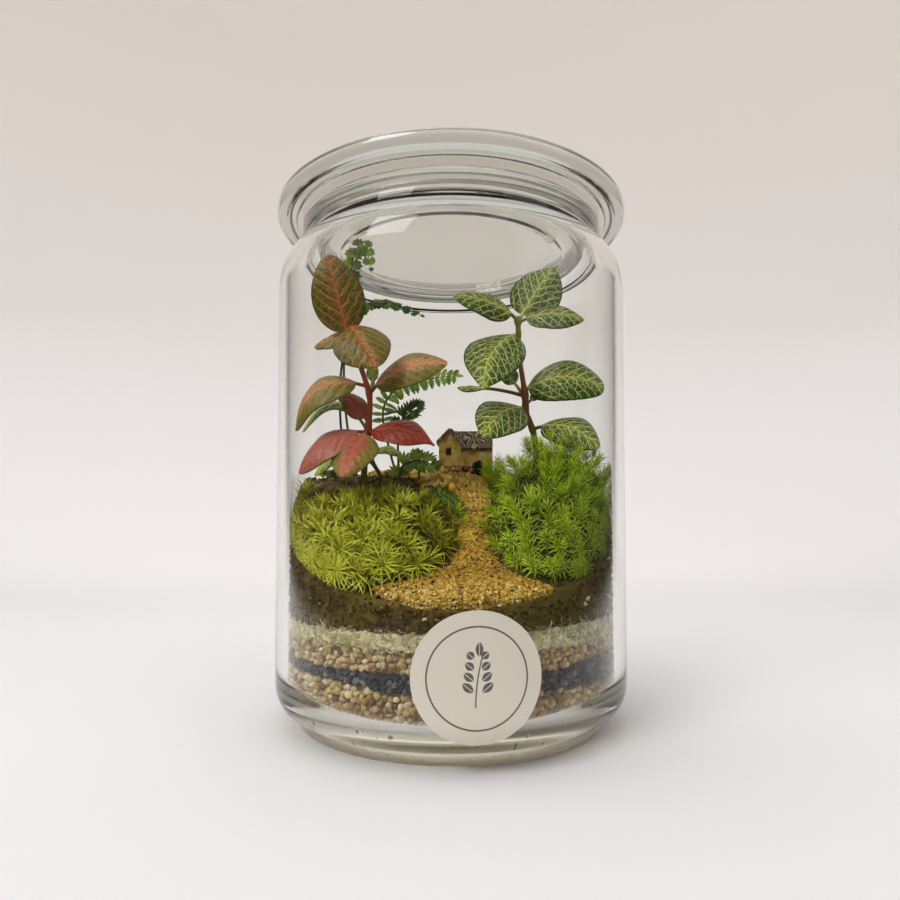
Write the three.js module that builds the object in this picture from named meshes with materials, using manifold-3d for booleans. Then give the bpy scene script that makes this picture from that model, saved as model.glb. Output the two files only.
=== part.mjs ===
// A glass plant terrarium: a lidded storage jar planted with two nerve plants,
// fern fronds and bushy moss on a hill of soil over layered gravel, with a sand
// path that climbs to a cast miniature cottage.
//
// Millimetres, +Z up. The jar's axis is the Z axis, the foot stands on z = 0 and
// the side with the sticker faces -Y.

import * as THREE from 'three';
import { mergeVertices } from 'three/addons/utils/BufferGeometryUtils.js';
import Module from 'manifold-3d';

const wasm = await Module();
wasm.setup();

// Driving sizes of the jar and its lid

const JAR = {
  radius: 50.5,
  neckRadius: 44,
  neckWall: 2.2,
  height: 142.3,
  footRadius: 44.1,
  footHeight: 3.7,
  wallTop: 12.5,
  shoulderStart: 121,
  shoulderEnd: 133.8,
  innerShoulderRise: 11.6,
  innerRadius: 47.5,
  upperWall: 2.5,
  floor: 6.7,
  footInner: 40,
  kick: 2.4,
};
const INNER_HEEL = { centre: [JAR.innerRadius - 8, 16], width: 8, drop: 9.2 };
const LID = {
  radius: 51.2,
  rim: 147.2,
  underside: 142.65,
  plugRadius: 40.2,
  plugBottom: 134.8,
  panelRadius: 30.1,
  panelBottom: 136.4,
  wall: 2.2,
};
const ROUND_STEPS = 32;
const GAP = 0.3;

// Driving sizes of what fills the jar

const FILL_RADIUS = 46.95;
const FILL_STEPS = 24;
const BLACK_BED = { bottom: 17.6, top: 22.4 };
const GRAVEL_TOP = 27.3;
const SEPARATOR_TOP = 31.4;
const HILL = { frontY: -47, frontZ: 36, crestY: 7, crestZ: 69.3, backRise: 2.6 };
const BLADE_THICKNESS = 0.7;

const model = new THREE.Group();

/** A dull or glossy finish for one sub-part. */
function finish(color, roughness, metalness = 0) {
  return new THREE.MeshStandardMaterial({ color, roughness, metalness });
}

/** Adds one named sub-part to the model. */
function addPart(name, shape, material) {
  const geometry = shape.isBufferGeometry ? shape : toGeometry(shape);
  const mesh = new THREE.Mesh(geometry, material);
  mesh.name = name;
  model.add(mesh);
  return mesh;
}

/** Turns a closed geometry into a solid that can be joined and cut. */
function toSolid(geometry) {
  const bare = geometry.clone();
  bare.deleteAttribute('normal');
  bare.deleteAttribute('uv');
  const merged = mergeVertices(bare, 1e-4);
  const vertProperties = new Float32Array(merged.attributes.position.array);
  const triVerts = new Uint32Array(merged.index.array);
  return new wasm.Manifold(new wasm.Mesh({ numProp: 3, vertProperties, triVerts }));
}

/** Turns a solid back into a geometry. */
function toGeometry(solid) {
  const mesh = solid.getMesh();
  const geometry = new THREE.BufferGeometry();
  geometry.setAttribute('position', new THREE.BufferAttribute(new Float32Array(mesh.vertProperties), 3));
  geometry.setIndex(new THREE.BufferAttribute(new Uint32Array(mesh.triVerts), 1));
  return geometry;
}

/** Joins solids pair by pair, which keeps each join small. */
function join(solids) {
  let level = solids;
  while (level.length > 1) {
    const next = [];
    for (let i = 0; i < level.length; i += 2) {
      next.push(i + 1 < level.length ? level[i].add(level[i + 1]) : level[i]);
    }
    level = next;
  }
  return level[0];
}

/** Keeps the largest separate body of a solid and drops loose scraps. */
function largestBody(solid) {
  const bodies = solid.decompose();
  return bodies.reduce((best, body) => (body.volume() > best.volume() ? body : best));
}

/** A point from three numbers. */
function at(x, y, z) {
  return new THREE.Vector3(x, y, z);
}

/** Repeatable random numbers from 0 to 1. */
function seededRandom(seed) {
  let state = seed;
  return () => {
    state = (state + 0x6d2b79f5) | 0;
    let t = Math.imul(state ^ (state >>> 15), 1 | state);
    t = (t + Math.imul(t ^ (t >>> 7), 61 | t)) ^ t;
    return ((t ^ (t >>> 14)) >>> 0) / 4294967296;
  };
}

// Round glass

/** Points of a quarter ellipse between two corners, in a lathe profile. */
function roundCorner(centre, radii, from, to, steps) {
  const points = [];
  for (let i = 0; i <= steps; i += 1) {
    const angle = THREE.MathUtils.degToRad(from + ((to - from) * i) / steps);
    points.push([centre[0] + radii[0] * Math.cos(angle), centre[1] + radii[1] * Math.sin(angle)]);
  }
  return points;
}

/** Spins a closed outline of radius and height pairs about the Z axis. */
function spin(outline, steps = ROUND_STEPS) {
  const points = outline.map(([radius, height]) => new THREE.Vector2(radius, height));
  if (outline[0][0] > 0) {
    points.push(points[0].clone());
  }
  return new THREE.LatheGeometry(points, steps).rotateX(Math.PI / 2);
}

/** The jar: thick base on a foot ring, round heel, straight wall, shoulder and neck. */
function jarOutline() {
  const heelBulge = JAR.radius - JAR.footRadius;
  const shoulderBulge = JAR.radius - JAR.neckRadius;
  const innerNeck = JAR.neckRadius - JAR.neckWall;
  const innerShoulder = JAR.radius - JAR.upperWall - innerNeck;
  const footEdge = 0.8;
  return [
    [0, JAR.kick],
    [JAR.footInner - 3, JAR.kick - 0.4],
    [JAR.footInner, 0],
    [JAR.footRadius - footEdge, 0],
    [JAR.footRadius, footEdge],
    ...roundCorner([JAR.footRadius, JAR.wallTop], [heelBulge, JAR.wallTop - JAR.footHeight], -90, 0, 3),
    [JAR.radius, 62],
    ...roundCorner(
      [JAR.neckRadius, JAR.shoulderStart],
      [shoulderBulge, JAR.shoulderEnd - JAR.shoulderStart],
      0,
      90,
      4,
    ),
    [JAR.neckRadius, JAR.height - 0.6],
    [JAR.neckRadius - 0.5, JAR.height],
    [innerNeck, JAR.height],
    ...roundCorner([innerNeck, JAR.shoulderStart], [innerShoulder, JAR.innerShoulderRise], 90, 0, 3),
    [JAR.innerRadius, 60],
    ...roundCorner(INNER_HEEL.centre, [INNER_HEEL.width, INNER_HEEL.drop], 0, -90, 3),
    [0, JAR.floor],
  ];
}

/** The lid: one moulded shell with a flange, and a dished plug inside the neck. */
function lidOutline() {
  const plugInside = LID.plugRadius - 1.6;
  const groove = LID.plugRadius - 1.2;
  return [
    [0, LID.panelBottom],
    [LID.panelRadius, LID.panelBottom],
    [33.3, LID.plugBottom],
    [39.2, LID.plugBottom],
    [LID.plugRadius, LID.plugBottom + 1.1],
    [LID.plugRadius, 138.4],
    [groove, 138.6],
    [groove, 140.8],
    [LID.plugRadius, 141],
    [LID.plugRadius, LID.underside],
    [45.6, LID.underside],
    [49.2, 143.1],
    [50.8, 143.5],
    [LID.radius, 145.2],
    [50.7, 146.8],
    [49.6, LID.rim],
    [44.4, 145.1],
    [plugInside, 143.4],
    [plugInside - 0.4, 137.4],
    [33.9, 137],
    [LID.panelRadius + 0.6, LID.panelBottom + LID.wall],
    [0, LID.panelBottom + LID.wall],
  ];
}

addPart('jar_glass', spin(jarOutline()), finish('#dfe3e2', 0.05));
addPart('lid', spin(lidOutline()), finish('#e4e7e6', 0.08));
addPart(
  'lid_gasket',
  spin([[39.4, 138.9], [41, 138.9], [41.3, 139.7], [41, 140.5], [39.4, 140.5]]),
  finish('#d5dadc', 0.4),
);

// Sticker on the front of the glass

const STICKER = { radius: 15, turn: 0.117, height: 22.1, thickness: 0.3, steps: 18, rings: 4 };

/** Radius of the jar's outside at a height, over the heel and the straight wall. */
function jarSurface(height) {
  if (height >= JAR.wallTop) {
    return JAR.radius;
  }
  const drop = (JAR.wallTop - height) / (JAR.wallTop - JAR.footHeight);
  return JAR.footRadius + (JAR.radius - JAR.footRadius) * Math.sqrt(Math.max(0, 1 - drop * drop));
}

/** A round paper disc wrapped on the wall, its lower edge bent in over the heel. */
function stickerShape() {
  const wrap = (across, height, lift) => {
    const radius = jarSurface(height) + GAP + lift;
    const turn = STICKER.turn + across / JAR.radius;
    return at(radius * Math.sin(turn), -radius * Math.cos(turn), height);
  };
  const disc = (u, v) => {
    const angle = u * 2 * Math.PI;
    return [STICKER.radius * v * Math.cos(angle), STICKER.height + STICKER.radius * v * Math.sin(angle)];
  };
  return closedSheet(
    STICKER.steps,
    STICKER.rings,
    (u, v) => wrap(...disc(u, v), STICKER.thickness),
    (u, v) => wrap(...disc(u, v), 0),
  );
}

/**
 * A closed body between two round sheets. Each sheet is a function of a turn u
 * and a ring v, both from 0 to 1, with v = 0 at the middle of the sheet.
 */
function closedSheet(steps, rings, upper, lower) {
  const positions = [];
  const index = [];
  const addSheet = (sheet) => {
    const start = positions.length / 3;
    positions.push(...sheet(0, 0).toArray());
    for (let ring = 1; ring <= rings; ring += 1) {
      for (let step = 0; step < steps; step += 1) {
        positions.push(...sheet(step / steps, ring / rings).toArray());
      }
    }
    return (step, ring) => (ring === 0 ? start : start + 1 + (ring - 1) * steps + (step % steps));
  };
  const top = addSheet(upper);
  const bottom = addSheet(lower);
  for (let step = 0; step < steps; step += 1) {
    index.push(top(0, 0), top(step, 1), top(step + 1, 1));
    index.push(bottom(0, 0), bottom(step + 1, 1), bottom(step, 1));
    for (let ring = 1; ring < rings; ring += 1) {
      index.push(top(step, ring), top(step, ring + 1), top(step + 1, ring + 1));
      index.push(top(step, ring), top(step + 1, ring + 1), top(step + 1, ring));
      index.push(bottom(step, ring), bottom(step + 1, ring + 1), bottom(step, ring + 1));
      index.push(bottom(step, ring), bottom(step + 1, ring), bottom(step + 1, ring + 1));
    }
    index.push(top(step, rings), bottom(step, rings), bottom(step + 1, rings));
    index.push(top(step, rings), bottom(step + 1, rings), top(step + 1, rings));
  }
  const geometry = new THREE.BufferGeometry();
  geometry.setAttribute('position', new THREE.Float32BufferAttribute(positions, 3));
  geometry.setIndex(index);
  return geometry;
}

addPart('label', stickerShape(), finish('#efebe6', 0.75));

// Beds of gravel, grit and moss under the soil

/** How far a bed's upper face waves up or down, by its place round the glass. */
function bedWave(x, y, amount, phase) {
  const turn = Math.atan2(y, x);
  const reach = Math.hypot(x, y) / FILL_RADIUS;
  return amount * reach * (Math.sin(2 * turn + phase) + 0.5 * Math.sin(5 * turn + 2.1 * phase));
}

/** Height of the glass under the fill: level in the middle, round at the heel. */
function glassFloor(radius) {
  const { centre, drop, width } = INNER_HEEL;
  const across = Math.min(0.98, Math.max(0, radius + 2 * GAP - centre[0]) / width);
  return centre[1] - drop * Math.sqrt(1 - across * across);
}

const bedFaces = {
  floor: (x, y) => glassFloor(Math.hypot(x, y)) + 0.35,
  blackBottom: (x, y) => BLACK_BED.bottom + bedWave(x, y, 1.1, 0.4),
  blackTop: (x, y) => BLACK_BED.top + bedWave(x, y, 0.8, 1.9),
  gravelTop: (x, y) => GRAVEL_TOP + bedWave(x, y, 0.5, 0.7),
  separatorTop: (x, y) => SEPARATOR_TOP + bedWave(x, y, 0.5, 2.6),
};

/** A round bed that fills the glass between a lower and an upper face. */
function bed(lowerFace, upperFace, lift, rings = 1, spread = 1) {
  const place = (face, raise) => (u, v) => {
    const angle = u * 2 * Math.PI;
    const radius = FILL_RADIUS * Math.pow(v, spread);
    const x = radius * Math.cos(angle);
    const y = radius * Math.sin(angle);
    return at(x, y, face(x, y) + raise);
  };
  return closedSheet(FILL_STEPS, rings, place(upperFace, 0), place(lowerFace, lift));
}

addPart('gravel_bottom', bed(bedFaces.floor, bedFaces.blackBottom, 0, 4, 0.3), finish('#b08d5c', 0.8));
addPart('grit_black', bed(bedFaces.blackBottom, bedFaces.blackTop, GAP), finish('#22221f', 0.85));
addPart('gravel_upper', bed(bedFaces.blackTop, bedFaces.gravelTop, GAP), finish('#b99a6b', 0.8));
addPart('moss_filter', bed(bedFaces.gravelTop, bedFaces.separatorTop, GAP), finish('#c9c9a8', 0.95));

// The hill of soil

/** Height of the soil at a place: low at the front, high and level at the back. */
function groundHeight(x, y) {
  const climb = Math.min(1, (y - HILL.frontY) / (HILL.crestY - HILL.frontY));
  const eased = climb - 0.035 * Math.sin(2 * Math.PI * climb);
  const back = THREE.MathUtils.smoothstep(y, HILL.crestY + 3, 30) * HILL.backRise;
  const lumps = 0.5 * Math.sin(0.23 * x + 0.6) * Math.sin(0.19 * y) * climb;
  return HILL.frontZ + (HILL.crestZ - HILL.frontZ) * eased + back + lumps;
}

/** The cottage: its place on the hill, then sizes from that place and its floor. */
const HOUSE = {
  x: -0.4,
  y: 12,
  base: 68.4,
  gableHalf: 3.4,
  gableFront: -5,
  gableBack: 4.6,
  gableTop: 15.4,
  wingEnd: 13.6,
  wingFront: -2,
  wallTop: 10.6,
  plinth: 4.2,
  ridgeY: 1.3,
  ridgeTop: 16.9,
  roofThickness: 1,
};

/** A box between two corners. */
function boxBetween(low, high) {
  const size = high.clone().sub(low);
  const centre = low.clone().add(high).multiplyScalar(0.5);
  return toSolid(new THREE.BoxGeometry(size.x, size.y, size.z).translate(centre.x, centre.y, centre.z));
}

/** A straight round hole for a stem, from just above the soil down into it. */
function stemHole([x, y], radius, depth) {
  const ground = groundHeight(x, y);
  const hole = new THREE.CylinderGeometry(radius, radius, depth + 4, 8).rotateX(Math.PI / 2);
  return toSolid(hole.translate(x, y, ground - depth / 2 + 2));
}

// Rounded stones

/** A lumpy stone: a squashed ball whose corners are moved by a seeded draw. */
function stone(centre, size, seed, grow = 0, detail = 1) {
  const random = seededRandom(seed);
  const ball = mergeVertices(bareBall(detail));
  const position = ball.attributes.position;
  for (let i = 0; i < position.count; i += 1) {
    const swell = 0.86 + 0.28 * random();
    position.setXYZ(
      i,
      centre[0] + position.getX(i) * (size[0] * swell + grow),
      centre[1] + position.getY(i) * (size[1] * swell + grow),
      centre[2] + position.getZ(i) * (size[2] * swell + grow),
    );
  }
  return toSolid(ball);
}

/** A faceted ball of radius 1 with position alone. */
function bareBall(detail) {
  const ball = new THREE.IcosahedronGeometry(1, detail);
  ball.deleteAttribute('normal');
  ball.deleteAttribute('uv');
  return ball;
}

const STONES = [
  { name: 'stone_large', centre: [-36.6, -2.6, 65.7], size: [5, 3.2, 2.2], seed: 11 },
  { name: 'stone_small', centre: [-30.4, 0.6, 67.4], size: [2.5, 2.2, 2.3], seed: 23 },
];

// Stems, leaves and leaflets

/** A closed rod along a curve; its radius runs evenly through the given radii. */
function rod(points, radii, sides, stations) {
  const curve = new THREE.CatmullRomCurve3(points);
  const frames = curve.computeFrenetFrames(stations, false);
  const positions = [];
  const index = [];
  for (let i = 0; i <= stations; i += 1) {
    const t = i / stations;
    const centre = curve.getPointAt(t);
    const place = t * (radii.length - 1);
    const before = Math.min(Math.floor(place), radii.length - 2);
    const radius = THREE.MathUtils.lerp(radii[before], radii[before + 1], place - before);
    for (let side = 0; side < sides; side += 1) {
      const angle = (side / sides) * 2 * Math.PI;
      const corner = centre.clone()
        .addScaledVector(frames.normals[i], radius * Math.cos(angle))
        .addScaledVector(frames.binormals[i], radius * Math.sin(angle));
      positions.push(...corner.toArray());
    }
  }
  for (let i = 0; i < stations; i += 1) {
    for (let side = 0; side < sides; side += 1) {
      const a = i * sides + side;
      const b = i * sides + ((side + 1) % sides);
      index.push(a, b, b + sides, a, b + sides, a + sides);
    }
  }
  const last = stations * sides;
  for (let side = 1; side < sides - 1; side += 1) {
    index.push(0, side + 1, side);
    index.push(last, last + side, last + side + 1);
  }
  const geometry = new THREE.BufferGeometry();
  geometry.setAttribute('position', new THREE.Float32BufferAttribute(positions, 3));
  geometry.setIndex(index);
  return toSolid(geometry);
}

/** Half the width of an oval leaf along its length, as a share of its half width. */
function ovalWidth(t, stalk) {
  if (t <= stalk) {
    return 0;
  }
  const along = (t - stalk) / (1 - stalk);
  return Math.pow(Math.sin(Math.PI * Math.pow(along, 0.8)), 0.72);
}

/**
 * A leaf on its stalk: an arched oval plate whose sides bend down from the midrib,
 * with a gentle wave along its edge. `bow` swings the midrib to one side. Both faces
 * are split into the same triangles.
 */
function leaf({ from, to, face, width, arch = 1.5, bow = 0, cup = 0.16, stalk = 0.14, wave = 0.35 }) {
  const LENGTHWISE = 5;
  const ACROSS = 4;
  const base = at(...from);
  const tip = at(...to);
  const axis = tip.clone().sub(base);
  const normal = at(...face).projectOnPlane(axis.clone().normalize()).normalize();
  const side = normal.clone().cross(axis).normalize();
  const corner = (i, j, upper) => {
    const t = i / LENGTHWISE;
    const s = (2 * j) / ACROSS - 1;
    const half = Math.max(0.5, (width / 2) * ovalWidth(t, stalk));
    const drop = cup * width * s * s * ovalWidth(t, stalk);
    const ripple = wave * s * s * Math.sin(9 * t + 2 * s) * ovalWidth(t, stalk);
    const lift = arch * 4 * t * (1 - t) - drop + ripple + (upper ? 0.5 : -0.5) * BLADE_THICKNESS;
    return base.clone()
      .addScaledVector(axis, t)
      .addScaledVector(side, half * s + bow * 4 * t * (1 - t))
      .addScaledVector(normal, lift);
  };
  return gridPlate(LENGTHWISE, ACROSS, corner);
}

/** A closed plate over a grid: `corner(i, j, upper)` gives the points of its two faces. */
function gridPlate(rows, columns, corner) {
  const face = (upper) => {
    const points = [];
    for (let i = 0; i <= rows; i += 1) {
      for (let j = 0; j <= columns; j += 1) {
        points.push(corner(i, j, upper));
      }
    }
    return points;
  };
  const row = columns + 1;
  const triangles = [];
  for (let i = 0; i < rows; i += 1) {
    for (let j = 0; j < columns; j += 1) {
      const a = i * row + j;
      triangles.push([a, a + row, a + row + 1], [a, a + row + 1, a + 1]);
    }
  }
  const rim = [];
  for (let i = 0; i < rows; i += 1) {
    rim.push(i * row);
  }
  for (let j = 0; j < columns; j += 1) {
    rim.push(rows * row + j);
  }
  for (let i = rows; i > 0; i -= 1) {
    rim.push(i * row + columns);
  }
  for (let j = columns; j > 0; j -= 1) {
    rim.push(j);
  }
  return closedPlate(face(true), face(false), triangles, rim);
}

/** Closes two faces with the same triangles, the lower one turned over, round their rim. */
function closedPlate(upperPoints, lowerPoints, triangles, rim) {
  const lower = upperPoints.length;
  const index = [];
  for (const [a, b, c] of triangles) {
    index.push(a, b, c, lower + a, lower + c, lower + b);
  }
  rim.forEach((a, k) => {
    const b = rim[(k + 1) % rim.length];
    index.push(a, lower + a, lower + b, a, lower + b, b);
  });
  const positions = [...upperPoints, ...lowerPoints].flatMap((point) => point.toArray());
  const geometry = new THREE.BufferGeometry();
  geometry.setAttribute('position', new THREE.Float32BufferAttribute(positions, 3));
  geometry.setIndex(index);
  return toSolid(geometry);
}

/** Corners of half a leaflet pair: a forward share of its room, a sideways share of its length. */
const LEAFLET = {
  plain: [[0.08, 0.42], [0.95, 0.98]],
  lobed: [[0.04, 0.5], [0.45, 0.98], [0.95, 0.6]],
};

/**
 * The leafy part of a frond, as one thin blade along a curve: a narrow rib with
 * leaflets on both sides that are cut in to it, largest in the middle.
 */
function frondBlade(curve, leafy, outward, size, pairs, lobed) {
  const THICKNESS = 0.62;
  const RIB = 0.28;
  const corners = lobed ? LEAFLET.lobed : LEAFLET.plain;
  const points = [];
  const triangles = [];
  const edges = { left: [], right: [] };
  const addPoint = (point) => points.push(point) - 1;
  const placeAt = (t) => {
    const forward = curve.getTangentAt(t);
    return { centre: curve.getPointAt(t), forward, sideways: forward.clone().cross(outward).normalize() };
  };
  const stepShare = (1 - leafy) / (pairs + 0.6);
  const room = stepShare * curve.getLength();
  let previous = null;
  for (let pair = 0; pair <= pairs; pair += 1) {
    const t = leafy + stepShare * pair;
    const { centre, sideways } = placeAt(t);
    const ends = {
      right: addPoint(centre.clone().addScaledVector(sideways, RIB)),
      left: addPoint(centre.clone().addScaledVector(sideways, -RIB)),
    };
    if (previous) {
      triangles.push([previous.right, ends.right, ends.left], [previous.right, ends.left, previous.left]);
      const share = (pair - 0.5) / pairs;
      const length = size * (0.4 + 0.6 * Math.sin(Math.PI * (0.16 + 0.74 * share)));
      const root = placeAt(t - 0.9 * stepShare);
      const spread = Math.min(0.62 * length, room);
      for (const [hand, side] of [[1, 'right'], [-1, 'left']]) {
        const outer = corners.map(([forward, out]) => addPoint(
          root.centre.clone()
            .addScaledVector(root.forward, forward * spread)
            .addScaledVector(root.sideways, hand * (RIB + out * length)),
        ));
        const loop = [previous[side], ...outer, ends[side]];
        for (let k = 1; k < loop.length - 1; k += 1) {
          const fan = [loop[loop.length - 1], loop[k - 1], loop[k]];
          triangles.push(hand > 0 ? fan : [fan[0], fan[2], fan[1]]);
        }
        edges[side].push(previous[side], ...outer);
      }
    }
    previous = ends;
  }
  const tip = addPoint(curve.getPointAt(1));
  triangles.push([previous.right, tip, previous.left]);
  const rim = [...edges.right, previous.right, tip, previous.left, ...edges.left.reverse()];
  const half = THICKNESS / 2;
  const raise = (distance) => points.map((point) => point.clone().addScaledVector(outward, distance));
  return closedPlate(raise(half), raise(-half), triangles, rim);
}

/** A fern frond: a thin stalk, and its blade from the share `leafy` of its length to the tip. */
function frond({ path, face, size, pairs, leafy, lobed = false }) {
  const curve = new THREE.CatmullRomCurve3(path);
  const outward = at(...face).normalize();
  const stalk = [];
  const STATIONS = 7;
  for (let i = 0; i <= STATIONS; i += 1) {
    stalk.push(curve.getPointAt((leafy + 0.03) * (i / STATIONS)));
  }
  const blade = frondBlade(curve, leafy, outward, size, pairs, lobed);
  return largestBody(blade.add(rod(stalk, [0.55, 0.4], 4, STATIONS)));
}

/** A stem that stands in the soil: its path ends with a straight root in its hole. */
function rooted(path, root, depth) {
  const ground = groundHeight(root[0], root[1]);
  return [...path, [root[0], root[1], ground + 1.5], [root[0], root[1], ground - depth]].map((p) => at(...p));
}

// The two nerve plants

const RED_ROOT = [-25.7, -3];
const RED_STEM = [
  [-27.6, -21, 106.9],
  [-25.8, -20, 102.6],
  [-24.5, -18, 98.4],
  [-22.7, -14, 91.1],
  [-23.6, -10, 82.3],
  [-25.1, -6, 74],
];
const RED_LEAVES = [
  { from: [-27.6, -21, 106], to: [-32.4, -24.5, 127.4], face: [0.05, -1, 0.1], width: 13.6, stalk: 0.06 },
  {
    from: [-26.6, -21.6, 109], to: [-19, -28.5, 96.2], face: [0.2, -1, 0.25],
    width: 15, stalk: 0.02, arch: 1,
  },
  { from: [-27.5, -21, 106.2], to: [-37, -18, 104.2], face: [0, -0.5, 0.85], width: 4.6, arch: 1 },
  {
    from: [-23.4, -14.6, 92.6], to: [-43, -13.5, 81.6], face: [-0.3, -0.78, 0.55],
    width: 13.4, arch: 4.4, bow: -3.6,
  },
  {
    from: [-22.9, -14.4, 91.8], to: [-1, -19.5, 99.4], face: [0.05, -0.8, 0.6],
    width: 12.6, arch: 3.2, bow: 1.6,
  },
  { from: [-23.4, -10.6, 84.4], to: [-31.2, -8.6, 93.2], face: [0.1, -0.9, 0.3], width: 6.4 },
  { from: [-23.7, -9.6, 82], to: [-42, -15.5, 69.4], face: [-0.35, -0.6, 0.72], width: 10.6, arch: 4.6 },
  { from: [-23.7, -10, 82.2], to: [-28.4, -23.5, 68.2], face: [-0.1, -0.8, 0.6], width: 12.4, arch: 2 },
  {
    from: [-23.7, -10, 81.6], to: [-4.6, -14.5, 77.4], face: [0.1, -0.7, 0.7],
    width: 9.4, arch: 3.6, bow: 0.8,
  },
];
const YOUNG_ROOT = [-21.6, 4];
const YOUNG_STEM = [
  [-23.4, -0.5, 99],
  [-24.4, -0.5, 93],
  [-25.4, 0.5, 84],
  [-24.4, 2, 75.3],
];
const YOUNG_LEAVES = [
  { from: [-25.4, 0.6, 84], to: [-43.6, -6, 82.4], face: [-0.15, -0.4, 0.9], width: 9, arch: 8.5 },
  {
    from: [-24.3, 2.2, 74.6], to: [-41, -1.5, 70], face: [-0.1, -0.6, 0.8],
    width: 5.6, arch: 4.4, stalk: 0.5,
  },
  { from: [-24.4, 1.8, 76.4], to: [-15, 3.6, 76], face: [0.1, -0.6, 0.8], width: 4.6, arch: 2.6 },
  { from: [-23.6, -0.6, 97.6], to: [-23.4, -3.4, 103.4], face: [0.1, -0.9, 0.4], width: 3.6, arch: 0.6 },
];
const PALE_ROOT = [25.6, -1.6];
const PALE_STEM = [
  [19.3, -9, 115.4],
  [19.4, -9, 110.6],
  [19.8, -8, 104.1],
  [21.4, -7, 93.5],
  [22, -6, 87.8],
  [24.1, -4.6, 82.7],
  [25.2, -2.6, 77.6],
];
const PALE_LEAVES = [
  { from: [19.5, -9, 114.2], to: [30, -6.5, 130.6], face: [-0.1, -0.9, 0.4], width: 15, stalk: 0.1 },
  { from: [19.3, -9, 114.4], to: [0.8, -14, 119.8], face: [-0.1, -0.62, 0.78], width: 10.6, arch: 2.4 },
  {
    from: [19.4, -9, 113.8], to: [37.4, -13, 113.2], face: [0, -0.8, 0.6],
    width: 10.6, arch: 2.2, bow: 0.8,
  },
  {
    from: [19.4, -9, 110.4], to: [8.4, -23.5, 91.4], face: [-0.1, -0.95, 0.4],
    width: 14.6, arch: 2.4, bow: -2.6, stalk: 0.08,
  },
  {
    from: [21.3, -7.2, 94.4], to: [42, -13.2, 94.4], face: [0.1, -0.92, 0.4],
    width: 12.4, arch: 2.4, bow: 2.6,
  },
  {
    from: [21.8, -6.2, 89.2], to: [8.6, -20, 79.8], face: [-0.1, -0.9, 0.5],
    width: 11.6, arch: 2.4, bow: -1.8,
  },
  {
    from: [23.9, -4.8, 83.4], to: [40.6, -16, 76.6], face: [0.15, -0.85, 0.5],
    width: 11.4, arch: 2.8, bow: 2.4,
  },
  { from: [21.2, -7, 92.6], to: [15.8, -2.5, 101.6], face: [-0.3, -0.9, 0.2], width: 5, stalk: 0.4 },
  { from: [21.2, -6.8, 93], to: [2, -2.5, 96], face: [0, -0.5, 0.85], width: 5, arch: 1, stalk: 0.6 },
  { from: [22, -6, 90.6], to: [26.6, -4, 94.6], face: [0.2, -0.9, 0.3], width: 2.4, arch: 0.4, stalk: 0.3 },
  {
    from: [22.3, -5.8, 85.6], to: [7, -3.5, 81.4], face: [-0.1, -0.6, 0.8],
    width: 6, arch: 2.6, stalk: 0.35,
  },
];

/** A leafy stem: the stem in its hole and the leaves fused to it. */
function leafyStem(path, root, radii, leaves) {
  const stem = rod(rooted(path, root, 7), radii, 6, 11);
  return largestBody(join([stem, ...leaves.map(leaf)]));
}

// Fern fronds

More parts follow.
